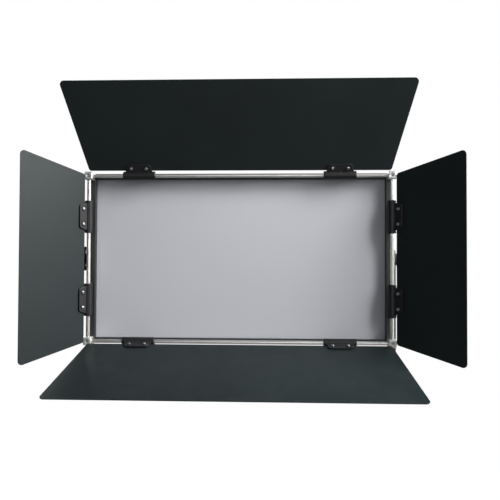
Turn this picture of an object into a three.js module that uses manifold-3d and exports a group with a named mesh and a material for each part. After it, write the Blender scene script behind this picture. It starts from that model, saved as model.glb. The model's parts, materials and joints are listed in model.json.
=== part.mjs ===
// LED panel light: a flat soft light with four barn doors, carried in a U-shaped yoke.
// Millimetres. +Z is up, the light shines towards -Y, and X runs along its width.
// The origin is the middle of the stand socket's mouth, under the yoke.

import * as THREE from 'three';
import { mergeVertices } from 'three/addons/utils/BufferGeometryUtils.js';
import Module from 'manifold-3d';

const wasm = await Module();
wasm.setup();

// ---------------------------------------------------------------- driving dimensions

const GAP = 0.3; // between pieces that touch

// Barn door frame: four round rods joined at the corners by blocks.
const FRAME_W = 604; // between the axes of the side rods
const FRAME_H = 331; // between the axes of the top and bottom rods
const ROD_R = 4;
const BLOCK = 16.4; // a corner block's width and height
const BLOCK_ROUND = 4.5;
const SCREW = { head: 3.6, headTall: 2.4, shank: 2, end: 18.3 }; // holds a block to the bezel
const ROD_END = 4.9; // from a block's middle to the end of each rod in it

// Leaves: flat sheet trapezoids that swing on the rods.
const LEAF_THICK = 1.6;
const LEAF_START = 10.4; // from the rod's axis to the leaf's near edge
const LEAF_TIP_ROUND = 8;
const LEAF_ROOT_ROUND = 6;
const LONG_LEAF = { reach: 188.5, inner: 300.5, outer: 344.5, clipAt: 200 };
const SHORT_LEAF = { reach: 153.5, inner: 168, outer: 201.5, clipAt: 83 };
// turn: about Y, to each side of the frame; swing: forward of the flat, as the leaf is left
const LEAVES = [
  { name: 'top', turn: 0, swing: 22, rodAt: FRAME_H / 2, ...LONG_LEAF, clips: ['left', 'right'] },
  { name: 'bottom', turn: 180, swing: 63, rodAt: FRAME_H / 2, ...LONG_LEAF, clips: ['right', 'left'] },
  { name: 'left', turn: -90, swing: 51, rodAt: FRAME_W / 2, ...SHORT_LEAF, clips: ['lower', 'upper'] },
  { name: 'right', turn: 90, swing: 38, rodAt: FRAME_W / 2, ...SHORT_LEAF, clips: ['upper', 'lower'] },
];

// Hinge clips: a barrel round the rod with a plate that is screwed to the leaf.
const CLIP_LENGTH = 65;
const CLIP_BARREL_R = 8.5;
const CLIP_BORE_R = ROD_R + 0.35;
const CLIP_PLATE = { width: 46, reach: 24, thick: 3, flare: 5, round: 4 };

// Housing. Depths are measured back from the plane of the rods.
const BEZEL = {
  w: 612,
  h: 340,
  round: 6,
  chamfer: 3,
  front: 12,
  squareFrom: 20,
  back: 27,
  openW: 582,
  openH: 319,
  seat: 22,
};
const DIFFUSER = { w: 596, h: 328, thick: 3 };
const SHELL = { w: 606, h: 334, round: 6, back: 87, wall: 2 };
const LIGHT_BOX = { w: 592, h: 326, wall: 1.2, back: 78.4 };
const LED_BOARD = { w: 594, h: 324, front: 80, thick: 1.6 };
const LED_STRIPS = { rows: 12, tall: 1.2, wide: 6, margin: 4 };
const SPREADER = { w: 596, h: 326, thick: 2.5 };
const SINK = { x: 215, w: 160, h: 300, base: 3, fins: 16, finTall: 18, finThick: 2 };
const POD = { w: 250, h: 230, round: 10, wall: 2.5, depth: 46 };
const PANEL_THICK = 3;
const POD_FRONT = SHELL.back + GAP;
const POD_BACK = POD_FRONT + POD.depth;
const PANEL_FRONT = POD_BACK + GAP;
const PANEL_BACK = PANEL_FRONT + PANEL_THICK;
const CABLE_HOLE = { w: 40, h: 20, round: 5, z: -60 }; // through the housing's back into the pod
const EYE = { r: 12, wire: 3, tall: 8, z: 141, plateW: 44, plateH: 16, plateThick: 3 };

// Places on the rear panel, as [x, z] from its middle, and what is fitted there.
const DISPLAY = { at: [0, 62], w: 72, h: 38, proud: 0.4 };
const KNOBS = { dimmer_knob: [84, 62], colour_knob: [-84, 62] };
const KNOB = { r: 15, tall: 16, foot: 0.6, shaft: 3, flutes: 18, fluteDeep: 0.35 };
const POINTER = { w: 1.6, deep: 0.8, from: 4 };
const BUTTONS = { z: 22, pitch: 22, r: 4.6, proud: 3, long: 10, chamfer: 0.8 };
const BUTTON_NAMES = ['menu', 'back', 'mode', 'lock'];
const SOCKET_ROW = -56;
const FLANGE = 2;
const INLET = { x: 78, w: 28, h: 20, long: 22, flangeW: 50, flangeH: 26 };
const INLET_MOUTH = { w: 24.4, h: 16.4, deep: 17 };
const SWITCH = { x: 30, w: 13.4, r: 9.8, pivotDeep: 2, slope: 9, frame: 3, frameTall: 1.5 };
const DMX = { dmx_in: -22, dmx_out: -68 };
const DMX_SIZE = { w: 26, h: 31, long: 20, barrel: 11.8, mouth: 9.3, deep: 14, groove: 1.2 };
const DMX_PINS = { count: 5, r: 1.4, circle: 5.5, step: 60 };
const CONTROL_BOARD = { w: 200, h: 80, z: 44, y: PANEL_FRONT - 12, thick: 1.6 };
const SUPPLY = { w: 190, h: 82, z: 48, from: POD_FRONT + 6, to: POD_FRONT + 30 };

// Yoke and stand socket.
const PIVOT_DEPTH = 70; // from the rods' plane back to the tilt axis
const YOKE = { inside: 313, thick: 5, wide: 30, drop: 225, bend: 20, eye: 20 };
const YOKE_HOLES = [-60, 0, 60];
const SOCKET = { r: 19, bore: 8.15, depth: 44, chamfer: 1.5, boltDeep: 10 };
const HEAD_Z = 290; // from the socket's mouth up to the tilt axis
const BAR_TOP = HEAD_Z - YOKE.drop;
const BAR_UNDER = BAR_TOP - YOKE.thick;
const CLAMP_BOLT_R = 5;
const CLAMP_HOLE_R = 5.4;
const RECEIVER_BOLT = { headR: 9.8, headTall: 6.4, deep: 9 };
const CLAMP_SCREW = { r: 4, z: 22, end: 44 };
const WING = { hubR: 9, hubFrom: SOCKET.r + 9, from: SOCKET.r + 15, to: 48, w: 40, h: 14, round: 6.9 };

// Tilt clamps, from the housing's side outwards.
const BOSS = { r: 26, thick: 4, from: SHELL.w / 2 + GAP };
const WASHER = { r: 20, from: BOSS.from + BOSS.thick + GAP, to: YOKE.inside - GAP };
const KNOB_FOOT = YOKE.inside + YOKE.thick + GAP;
const HUB = { r: 12, tall: 6 };
const TILT_KNOB = { r: 24, lobe: 2.5, lobes: 7, thick: 20, capR: 15, capTall: 2 };
const BOLT = { from: SHELL.w / 2 - SHELL.wall - 0.5, to: KNOB_FOOT + HUB.tall + 8 };

// ---------------------------------------------------------------- materials

const finish = (color, roughness, metalness) =>
  new THREE.MeshStandardMaterial({ color, roughness, metalness });

const MATERIALS = {
  leaf: finish(0x3a4041, 0.55, 0.3),
  clip: finish(0x15181a, 0.5, 0.1),
  chrome: finish(0xc8cacc, 0.16, 1),
  block: finish(0xb4b6b6, 0.3, 1),
  bezel: finish(0x24282a, 0.5, 0.3),
  housing: finish(0x26292b, 0.6, 0.3),
  diffuser: finish(0xd9d9e0, 0.5, 0),
  white: finish(0xf2f2f0, 0.7, 0),
  board: finish(0xe6e6dc, 0.6, 0),
  aluminium: finish(0xaeb1b3, 0.4, 0.9),
  plastic: finish(0x17181a, 0.55, 0),
  green: finish(0x1f5a3a, 0.6, 0),
  glass: finish(0x101418, 0.1, 0),
  rubber: finish(0x1a1a1b, 0.85, 0),
  steel: finish(0x9a9c9e, 0.35, 0.9),
  yoke: finish(0x1e2022, 0.6, 0.3),
  red: finish(0xa3231f, 0.4, 0),
};

// ---------------------------------------------------------------- outlines

const radians = THREE.MathUtils.degToRad;

// Points on an arc from one angle to another, in degrees, both ends included.
function arc(x, y, r, from, to, steps) {
  return Array.from({ length: steps + 1 }, (_, i) => {
    const a = radians(from + ((to - from) * i) / steps);
    return new THREE.Vector2(x + r * Math.cos(a), y + r * Math.sin(a));
  });
}

const circle = (r, steps = 24, x = 0, y = 0) => arc(x, y, r, 0, 360 - 360 / steps, steps - 1);

const points = (...pairs) => pairs.map(([x, y]) => new THREE.Vector2(x, y));

// A rectangle about (x, y) whose corners are rounded.
function roundedRect(w, h, r, x = 0, y = 0, steps = 3) {
  const dx = w / 2 - r;
  const dy = h / 2 - r;
  return [
    ...arc(x + dx, y + dy, r, 0, 90, steps),
    ...arc(x - dx, y + dy, r, 90, 180, steps),
    ...arc(x - dx, y - dy, r, 180, 270, steps),
    ...arc(x + dx, y - dy, r, 270, 360, steps),
  ];
}

const rect = (x0, y0, x1, y1) => points([x0, y0], [x1, y0], [x1, y1], [x0, y1]);

// A closed polygon with each corner replaced by an arc of its own radius.
function roundCorners(corners, radii, steps = 4) {
  const out = [];
  corners.forEach((corner, i) => {
    const before = corners.at(i - 1).clone().sub(corner).normalize();
    const after = corners[(i + 1) % corners.length].clone().sub(corner).normalize();
    const half = Math.acos(THREE.MathUtils.clamp(before.dot(after), -1, 1)) / 2;
    const middle = before.clone().add(after).normalize();
    const centre = corner.clone().addScaledVector(middle, radii[i] / Math.sin(half));
    const from = corner.clone().addScaledVector(before, radii[i] / Math.tan(half)).sub(centre);
    const to = corner.clone().addScaledVector(after, radii[i] / Math.tan(half)).sub(centre);
    const start = from.angle();
    const turn = THREE.MathUtils.euclideanModulo(to.angle() - start + Math.PI, 2 * Math.PI) - Math.PI;
    for (let k = 0; k <= steps; k += 1) {
      const a = start + (turn * k) / steps;
      out.push(centre.clone().add(new THREE.Vector2(Math.cos(a), Math.sin(a)).multiplyScalar(radii[i])));
    }
  });
  return out;
}

// ---------------------------------------------------------------- solids

const X = new THREE.Vector3(1, 0, 0);
const Y = new THREE.Vector3(0, 1, 0);
const Z = new THREE.Vector3(0, 0, 1);
// Where an outline's own x, y and depth go, for a prism along each axis.
const BASES = {
  x: new THREE.Matrix4().makeBasis(Y, Z, X), // outline in (y, z)
  y: new THREE.Matrix4().makeBasis(X, Z, Y.clone().negate()), // outline in (x, z)
  z: new THREE.Matrix4(), // outline in (x, y)
};

// A solid from any closed three.js geometry.
function solid(geometry) {
  const bare = geometry.clone();
  bare.deleteAttribute('normal');
  bare.deleteAttribute('uv');
  const merged = mergeVertices(bare, 1e-4);
  return new wasm.Manifold(new wasm.Mesh({
    numProp: 3,
    vertProperties: new Float32Array(merged.attributes.position.array),
    triVerts: new Uint32Array(merged.index.array),
  }));
}

// An outline extruded along an axis, from one place on it to another.
function prism(outline, axis, from, to) {
  const shape = new THREE.Shape(outline);
  const geometry = new THREE.ExtrudeGeometry(shape, { depth: to - from, bevelEnabled: false });
  geometry.applyMatrix4(BASES[axis]);
  const place = { x: from, y: to, z: from }[axis];
  geometry.translate(axis === 'x' ? place : 0, axis === 'y' ? place : 0, axis === 'z' ? place : 0);
  return solid(geometry);
}

// A shape turned about an axis through the origin from [radius, place] pairs.
function turned(profile, axis, steps = 24) {
  const geometry = new THREE.LatheGeometry(points(...profile), steps);
  if (axis === 'x') geometry.rotateZ(-Math.PI / 2);
  if (axis === 'z') geometry.rotateX(Math.PI / 2);
  return solid(geometry);
}

const cut = (body, ...tools) => tools.reduce((left, tool) => left.subtract(tool), body);
const join = (...pieces) => pieces.reduce((all, piece) => all.add(piece));
const moved = (body, x, y, z) => body.translate([x, y, z]);

// A named mesh from a finished solid.
function node(name, body, material) {
  const mesh = body.getMesh();
  const geometry = new THREE.BufferGeometry();
  geometry.setAttribute('position', new THREE.BufferAttribute(mesh.vertProperties, 3));
  geometry.setIndex(new THREE.BufferAttribute(mesh.triVerts, 1));
  geometry.computeVertexNormals();
  const out = new THREE.Mesh(geometry, material);
  out.name = name;
  return out;
}

// ---------------------------------------------------------------- barn doors

const SIDES = { left: -1, right: 1 };
const LEVELS = { upper: 1, lower: -1 };

// A block with its front edges rounded, bored for two rods and for its screw.
function cornerBlock(side, level) {
  const half = BLOCK / 2;
  const back = BEZEL.front - GAP;
  const section = [
    ...arc(-half + BLOCK_ROUND, half - BLOCK_ROUND, BLOCK_ROUND, 90, 180, 3),
    ...arc(-half + BLOCK_ROUND, -half + BLOCK_ROUND, BLOCK_ROUND, 180, 270, 3),
    ...points([back, -half], [back, half]),
  ];
  const acrossX = prism(section, 'x', -half, half);
  const acrossZ = prism(section.map((p) => new THREE.Vector2(-p.y, p.x)), 'z', -half, half);
  const boreEnd = ROD_END - GAP;
  const rodX = prism(circle(ROD_R + GAP, 16), 'x', boreEnd, half + 1);
  const rodZ = prism(circle(ROD_R + GAP, 16), 'z', boreEnd, half + 1);
  const body = cut(
    acrossX.intersect(acrossZ),
    side > 0 ? rodX.mirror([1, 0, 0]) : rodX,
    level > 0 ? rodZ.mirror([0, 0, 1]) : rodZ,
    prism(circle(SCREW.shank + GAP, 12), 'y', -half - 1, back + 1),
    prism(circle(SCREW.head + GAP, 16), 'y', -half - 1, -half + SCREW.headTall + 2 * GAP),
  );
  return moved(body, (side * FRAME_W) / 2, 0, (level * FRAME_H) / 2);
}

// A pan-head screw lying along Y, with its head flush in the block's front.
function cornerScrew(side, level) {
  const front = -BLOCK / 2 + GAP;
  const neck = front + SCREW.headTall;
  const profile = [[0, front], [SCREW.head, front], [SCREW.head, neck],
    [SCREW.shank, neck], [SCREW.shank, SCREW.end], [0, SCREW.end]];
  return moved(turned(profile, 'y', 16), (side * FRAME_W) / 2, 0, (level * FRAME_H) / 2);
}

function rodAlong(axis, span) {
  const half = span / 2 - ROD_END;
  return prism(circle(ROD_R, 20), axis, -half, half);
}

// A leaf in its own place: X along the rod, Z away from it, -Y the lit face.
function leafSheet({ reach, inner, outer }) {
  const corners = points([-inner, LEAF_START], [inner, LEAF_START], [outer, reach], [-outer, reach]);
  const radii = [LEAF_ROOT_ROUND, LEAF_ROOT_ROUND, LEAF_TIP_ROUND, LEAF_TIP_ROUND];
  return prism(roundCorners(corners, radii), 'y', -LEAF_THICK / 2, LEAF_THICK / 2);
}

function hingeClip(along) {
  const { width, reach, thick, flare, round } = CLIP_PLATE;
  const face = -LEAF_THICK / 2 - GAP;
  const plate = roundCorners(
    points([-width / 2 - flare, 0], [width / 2 + flare, 0], [width / 2, reach], [-width / 2, reach]),
    [1, 1, round, round],
  );
  const body = cut(
    join(
      prism(circle(CLIP_BARREL_R, 24), 'x', -CLIP_LENGTH / 2, CLIP_LENGTH / 2),
      prism(plate, 'y', face - thick, face),
    ),
    prism(circle(CLIP_BORE_R, 20), 'x', -CLIP_LENGTH, CLIP_LENGTH),
  );
  return moved(body, along, 0, 0);
}

function barnDoors() {
  const group = new THREE.Group();
  for (const [sideName, side] of Object.entries(SIDES)) {
    for (const [levelName, level] of Object.entries(LEVELS)) {
      const corner = `${levelName}_${sideName}`;
      group.add(node(`corner_block_${corner}`, cornerBlock(side, level), MATERIALS.block));
      group.add(node(`corner_screw_${corner}`, cornerScrew(side, level), MATERIALS.steel));
    }
  }
  const across = rodAlong('x', FRAME_W);
  const upright = rodAlong('z', FRAME_H);
  group.add(node('rod_top', moved(across, 0, 0, FRAME_H / 2), MATERIALS.chrome));
  group.add(node('rod_bottom', moved(across, 0, 0, -FRAME_H / 2), MATERIALS.chrome));
  group.add(node('rod_left', moved(upright, -FRAME_W / 2, 0, 0), MATERIALS.chrome));
  group.add(node('rod_right', moved(upright, FRAME_W / 2, 0, 0), MATERIALS.chrome));
  for (const leaf of LEAVES) {
    const edge = new THREE.Group();
    edge.rotation.y = radians(leaf.turn);
    const hinge = new THREE.Group();
    hinge.position.z = leaf.rodAt;
    hinge.rotation.x = radians(leaf.swing);
    hinge.add(node(`leaf_${leaf.name}`, leafSheet(leaf), MATERIALS.leaf));
    leaf.clips.forEach((place, i) => {
      const along = (i ? 1 : -1) * leaf.clipAt;
      hinge.add(node(`hinge_clip_${leaf.name}_${place}`, hingeClip(along), MATERIALS.clip));
    });
    edge.add(hinge);
    group.add(edge);
  }
  return group;
}

// ---------------------------------------------------------------- light box

// The front frame: a ring with a chamfered rim, a seat behind for the diffuser, and screw holes.
function frontBezel() {
  const { w, h, round, chamfer, front, squareFrom, back, openW, openH, seat } = BEZEL;
  const body = new THREE.ExtrudeGeometry(new THREE.Shape(roundedRect(w - 2 * chamfer, h - 2 * chamfer, 3)), {
    depth: back - front - 2 * chamfer,
    bevelThickness: chamfer,
    bevelSize: chamfer,
    bevelSegments: 2,
  });
  body.applyMatrix4(BASES.y);
  body.translate(0, back - chamfer, 0);
  const squareBack = prism(roundedRect(w, h, round), 'y', squareFrom, back);
  const holes = [];
  for (const side of [-1, 1]) {
    for (const level of [-1, 1]) {
      const hole = circle(SCREW.shank + GAP, 12, (side * FRAME_W) / 2, (level * FRAME_H) / 2);
      holes.push(prism(hole, 'y', front - 1, SCREW.end + GAP));
    }
  }
  return cut(
    join(solid(body), squareBack),
    prism(roundedRect(openW, openH, 3), 'y', front - 1, back + 1),
    prism(roundedRect(DIFFUSER.w + 2, DIFFUSER.h + 2, 2), 'y', seat, back + 1),
    ...holes,
  );
}

const cableHole = roundedRect(CABLE_HOLE.w, CABLE_HOLE.h, CABLE_HOLE.round, 0, CABLE_HOLE.z);

// A tray open to the front, with a cable hole in its back and a clamp bolt hole in each side.
function housingShell() {
  const { w, h, round, back, wall } = SHELL;
  const front = BEZEL.back + GAP;
  const boltHole = circle(CLAMP_BOLT_R + 1, 16, PIVOT_DEPTH, 0);
  return cut(
    prism(roundedRect(w, h, round), 'y', front, back),
    prism(roundedRect(w - 2 * wall, h - 2 * wall, round - wall), 'y', front - 1, back - wall),
    prism(cableHole, 'y', back - 2 * wall, back + 1),
    prism(boltHole, 'x', -w, w),
  );
}

// Four white walls that mix the light between the board and the diffuser.
function lightBox() {
  const { w, h, wall, back } = LIGHT_BOX;
  const front = BEZEL.seat + DIFFUSER.thick + 3 * GAP;
  return cut(
    prism(roundedRect(w, h, 3), 'y', front, back),
    prism(roundedRect(w - 2 * wall, h - 2 * wall, 2), 'y', front - 1, back + 1),
  );
}

// A board with its rows of LED strips standing proud of the front.
function ledBoard() {
  const { w, h, front, thick } = LED_BOARD;
  const { rows, tall, wide, margin } = LED_STRIPS;
  const pitch = h / rows;
  const section = points([front + thick, h / 2], [front + thick, -h / 2], [front, -h / 2]);
  for (let row = 0; row < rows; row += 1) {
    const low = -h / 2 + pitch * (row + 0.5) - wide / 2;
    section.push(...points(
      [front, low],
      [front - tall, low],
      [front - tall, low + wide],
      [front, low + wide],
    ));
  }
  section.push(...points([front, h / 2]));
  const inside = LIGHT_BOX.w - 2 * LIGHT_BOX.wall - 2 * margin;
  const stripsOnly = rect(front - 9, -h, front, h);
  return cut(
    prism(section, 'x', -w / 2, w / 2),
    prism(stripsOnly, 'x', inside / 2, w),
    prism(stripsOnly, 'x', -w, -inside / 2),
  );
}

// A comb of upright cooling fins on a base plate.
function heatSink(side) {
  const { x, w, h, base, fins, finTall, finThick } = SINK;
  const back = SHELL.back + GAP;
  const pitch = (w - finThick) / (fins - 1);
  const section = points([w / 2, back], [w / 2, back + base + finTall]);
  for (let fin = 0; fin < fins; fin += 1) {
    const right = w / 2 - fin * pitch;
    if (fin) section.push(...points([right, back + base], [right, back + base + finTall]));
    section.push(...points([right - finThick, back + base + finTall]));
    if (fin < fins - 1) section.push(...points([right - finThick, back + base]));
  }
  section.push(...points([-w / 2, back]));
  return moved(prism(section.reverse(), 'z', -h / 2, h / 2), side * x, 0, 0);
}

function lightSource() {
  const seat = BEZEL.seat + GAP;
  const spreaderFront = LED_BOARD.front + LED_BOARD.thick + GAP;
  const group = new THREE.Group();
  group.add(node('front_bezel', frontBezel(), MATERIALS.bezel));
  group.add(node(
    'diffuser',
    prism(roundedRect(DIFFUSER.w, DIFFUSER.h, 2), 'y', seat, seat + DIFFUSER.thick),
    MATERIALS.diffuser,
  ));
  group.add(node('light_box', lightBox(), MATERIALS.white));
  group.add(node('led_board', ledBoard(), MATERIALS.board));
  group.add(node(
    'heat_spreader',
    prism(roundedRect(SPREADER.w, SPREADER.h, 2), 'y', spreaderFront, spreaderFront + SPREADER.thick),
    MATERIALS.aluminium,
  ));
  group.add(node('housing_shell', housingShell(), MATERIALS.housing));
  for (const [name, side] of Object.entries(SIDES)) {
    group.add(node(`heat_sink_${name}`, heatSink(side), MATERIALS.housing));
  }
  return group;
}

// ---------------------------------------------------------------- control pod

function controlPod() {
  const { w, h, round, wall } = POD;
  return cut(
    prism(roundedRect(w, h, round), 'y', POD_FRONT, POD_BACK),
    prism(roundedRect(w - 2 * wall, h - 2 * wall, round - wall), 'y', POD_FRONT + wall, POD_BACK + 1),
    prism(cableHole, 'y', POD_FRONT - 1, POD_FRONT + 2 * wall),
  );
}

const through = (outline) => prism(outline, 'y', PANEL_FRONT - 1, PANEL_BACK + 5);

// The rear panel, with a raised frame round the switch and an opening for each control.
function podPanel() {
  const cuts = [through(roundedRect(DISPLAY.w, DISPLAY.h, 2, ...DISPLAY.at))];
  for (const at of Object.values(KNOBS)) cuts.push(through(circle(KNOB.shaft + 1, 12, ...at)));
  BUTTON_NAMES.forEach((_, i) => {
    cuts.push(through(circle(BUTTONS.r + GAP, 16, buttonX(i), BUTTONS.z)));
  });
  cuts.push(through(roundedRect(INLET.w + 1, INLET.h + 1, 2, INLET.x, SOCKET_ROW)));
  for (const x of Object.values(DMX)) cuts.push(through(circle(DMX_SIZE.barrel + 0.4, 24, x, SOCKET_ROW)));
  const opening = rect(
    SWITCH.x - SWITCH.w / 2 - GAP,
    SOCKET_ROW - SWITCH.r - GAP,
    SWITCH.x + SWITCH.w / 2 + GAP,
    SOCKET_ROW + SWITCH.r + GAP,
  );
  cuts.push(through(opening));
  const frameW = SWITCH.w + 2 * SWITCH.frame;
  const frameH = 2 * (SWITCH.r + SWITCH.frame) + 1;
  const frame = roundedRect(frameW, frameH, 2, SWITCH.x, SOCKET_ROW);
  return cut(
    join(
      prism(roundedRect(POD.w, POD.h, POD.round), 'y', PANEL_FRONT, PANEL_BACK),
      prism(frame, 'y', PANEL_BACK - 1, PANEL_BACK + SWITCH.frameTall),
    ),
    ...cuts,
  );
}

const buttonX = (i) => (i - (BUTTON_NAMES.length - 1) / 2) * BUTTONS.pitch;

// A fluted knob on its shaft, with a pointer groove across its face.
function controlKnob([x, z]) {
  const foot = PANEL_BACK + KNOB.foot;
  const grip = Array.from({ length: KNOB.flutes * 2 }, (_, i) => {
    const a = (i / (KNOB.flutes * 2)) * 2 * Math.PI;
    const r = KNOB.r - KNOB.fluteDeep * (1 - Math.cos(KNOB.flutes * a));
    return new THREE.Vector2(r * Math.cos(a), r * Math.sin(a));
  });
  const top = foot + KNOB.tall;
  const groove = rect(-POINTER.w / 2, POINTER.from, POINTER.w / 2, KNOB.r + 1);
  const body = cut(
    join(
      prism(grip, 'y', foot, top),
      prism(circle(KNOB.shaft, 12), 'y', CONTROL_BOARD.y + 2 + GAP, foot + 1),
    ),
    prism(groove, 'y', top - POINTER.deep, top + 1),
  );
  return moved(body, x, 0, z);
}

function pushButton(i) {
  const out = PANEL_BACK + BUTTONS.proud;
  const { r, long, chamfer } = BUTTONS;
  const profile = [[0, out - long], [r, out - long], [r, out - chamfer], [r - chamfer, out], [0, out]];
  return moved(turned(profile, 'y', 16), buttonX(i), 0, BUTTONS.z);
}

// A mains inlet: a flange and body with a blind mouth for the plug.
function powerInlet() {
  const { w, h, long, flangeW, flangeH } = INLET;
  const face = PANEL_BACK + GAP + FLANGE;
  return moved(
    cut(
      join(
        prism(roundedRect(flangeW, flangeH, 5), 'y', face - FLANGE, face),
        prism(roundedRect(w, h, 1.5), 'y', face - FLANGE - long, face - 1),
      ),
      prism(roundedRect(INLET_MOUTH.w, INLET_MOUTH.h, 2), 'y', face - INLET_MOUTH.deep, face + 1),
    ),
    INLET.x,
    0,
    SOCKET_ROW,
  );
}

// A data socket. The input has an open mouth, the output a face with five small holes.
function dmxSocket(name) {
  const { w, h, long, barrel, mouth, deep, groove } = DMX_SIZE;
  const face = PANEL_BACK + GAP + FLANGE;
  const body = join(
    prism(roundedRect(w, h, 3), 'y', face - FLANGE, face),
    prism(circle(barrel), 'y', face - FLANGE - long, face - 1),
  );
  const tools = [];
  if (name === 'dmx_in') {
    tools.push(prism(circle(mouth), 'y', face - deep, face + 1));
  } else {
    const { count, r, circle: around, step } = DMX_PINS;
    for (let pin = 0; pin < count; pin += 1) {
      const a = radians(90 + (pin - (count - 1) / 2) * step);
      const hole = circle(r, 8, around * Math.cos(a), -around * Math.sin(a));
      tools.push(prism(hole, 'y', face - deep, face + 1));
    }
    tools.push(cut(
      prism(circle(mouth), 'y', face - groove, face + 1),
      prism(circle(mouth - 1), 'y', face - 2, face + 2),
    ));
  }
  return moved(cut(body, ...tools), DMX[name], 0, SOCKET_ROW);
}

// A rocker whose two faces slope up from the middle. It rests with its upper half pressed in.
function rocker() {
  const { w, r, pivotDeep, slope } = SWITCH;
  const edge = Math.asin(0.35); // from the front face's plane round to each end of the arcs
  const wrap = 37; // how far round each end the arcs go
  const high = r * Math.sin(edge);
  const dip = high - r * Math.cos(edge) * Math.tan(radians(slope));
  const section = [
    ...arc(0, 0, r, 90 - THREE.MathUtils.radToDeg(edge), 90 + wrap, 6),
    ...arc(0, 0, r, 270 - wrap, 270 + THREE.MathUtils.radToDeg(edge), 6),
    ...points([dip, 0]),
  ];
  const mesh = node('power_switch', prism(section, 'x', -w / 2, w / 2), MATERIALS.red);
  mesh.position.set(SWITCH.x, PANEL_BACK - pivotDeep, SOCKET_ROW);
  mesh.rotation.x = radians(slope);
  return mesh;
}

function controlUnit() {
  const group = new THREE.Group();
  group.add(node('control_pod', controlPod(), MATERIALS.housing));
  group.add(node('pod_panel', podPanel(), MATERIALS.bezel));
  group.add(node(
    'power_supply',
    prism(roundedRect(SUPPLY.w, SUPPLY.h, 3, 0, SUPPLY.z), 'y', SUPPLY.from, SUPPLY.to),
    MATERIALS.aluminium,
  ));
  group.add(node(
    'control_board',
    prism(
      roundedRect(CONTROL_BOARD.w, CONTROL_BOARD.h, 2, 0, CONTROL_BOARD.z),
      'y',
      CONTROL_BOARD.y,
      CONTROL_BOARD.y + CONTROL_BOARD.thick,
    ),
    MATERIALS.green,
  ));
  group.add(node(
    'display_window',
    prism(
      roundedRect(DISPLAY.w - 2 * GAP, DISPLAY.h - 2 * GAP, 2, ...DISPLAY.at),
      'y',
      PANEL_FRONT + GAP,
      PANEL_BACK + DISPLAY.proud,
    ),
    MATERIALS.glass,
  ));
  for (const [name, at] of Object.entries(KNOBS)) {
    group.add(node(name, controlKnob(at), MATERIALS.plastic));
  }
  BUTTON_NAMES.forEach((name, i) => {
    group.add(node(`${name}_button`, pushButton(i), MATERIALS.rubber));
  });
  group.add(node('power_inlet', powerInlet(), MATERIALS.plastic));
  group.add(rocker());
  for (const name of Object.keys(DMX)) group.add(node(name, dmxSocket(name), MATERIALS.steel));
  group.add(node('safety_eye', safetyEye(), MATERIALS.steel));
  return group;
}

// A loop of round bar on a small plate, for a safety cable.
function safetyEye() {
  const back = SHELL.back + GAP;
  const from = back + EYE.plateThick;
  const bow = new THREE.CurvePath();
  const low = from - 1;
  const high = from + EYE.tall;
  bow.add(new THREE.LineCurve3(new THREE.Vector3(EYE.r, low, 0), new THREE.Vector3(EYE.r, high, 0)));
  const turn = Array.from({ length: 9 }, (_, i) => {
    const a = (i / 8) * Math.PI;
    return new THREE.Vector3(EYE.r * Math.cos(a), high + EYE.r * Math.sin(a), 0);
  });
  bow.add(new THREE.CatmullRomCurve3(turn));
  bow.add(new THREE.LineCurve3(new THREE.Vector3(-EYE.r, high, 0), new THREE.Vector3(-EYE.r, low, 0)));
  const wire = new THREE.ExtrudeGeometry(new THREE.Shape(circle(EYE.wire, 10)), {
    steps: 16,
    extrudePath: bow,
  });
  const plate = prism(roundedRect(EYE.plateW, EYE.plateH, 4), 'y', back, from);
  return moved(join(plate, solid(wire)), 0, 0, EYE.z);
}

// ---------------------------------------------------------------- tilt clamps

// These lie along +X for the right-hand side, and are mirrored for the left.
const ring = (outer, inner, from, to) => cut(
  prism(circle(outer, 32), 'x', from, to),
  prism(circle(inner, 20), 'x', from - 1, to + 1),
);

function tiltKnob() {
  const { r, lobe, lobes, thick, capR, capTall } = TILT_KNOB;
  const star = Array.from({ length: lobes * 8 }, (_, i) => {
    const a = (i / (lobes * 8)) * 2 * Math.PI;
    const reach = r + lobe * Math.cos(lobes * a);
    return new THREE.Vector2(reach * Math.cos(a), reach * Math.sin(a));
  });
  const from = KNOB_FOOT + HUB.tall;
  return cut(
    join(
      prism(star, 'x', from, from + thick),
      prism(circle(HUB.r), 'x', KNOB_FOOT, from + 1),
      prism(circle(capR), 'x', from + thick - 1, from + thick + capTall),
    ),
    prism(circle(CLAMP_BOLT_R + GAP, 20), 'x', KNOB_FOOT - 1, BOLT.to + GAP),
  );
}

function tiltClamps() {
  const group = new THREE.Group();
  const pieces = {
    side_boss: [ring(BOSS.r, CLAMP_HOLE_R, BOSS.from, BOSS.from + BOSS.thick), MATERIALS.steel],
    friction_washer: [ring(WASHER.r, CLAMP_HOLE_R, WASHER.from, WASHER.to), MATERIALS.rubber],
    tilt_bolt: [prism(circle(CLAMP_BOLT_R, 20), 'x', BOLT.from, BOLT.to), MATERIALS.steel],
    tilt_knob: [tiltKnob(), MATERIALS.plastic],
  };
  for (const [sideName, side] of Object.entries(SIDES)) {
    for (const [name, [body, material]] of Object.entries(pieces)) {
      const placed = side < 0 ? body.mirror([1, 0, 0]) : body;
      group.add(node(`${name}_${sideName}`, moved(placed, 0, PIVOT_DEPTH, 0), material));
    }
  }
  return group;
}

// ---------------------------------------------------------------- yoke and stand socket

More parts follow.
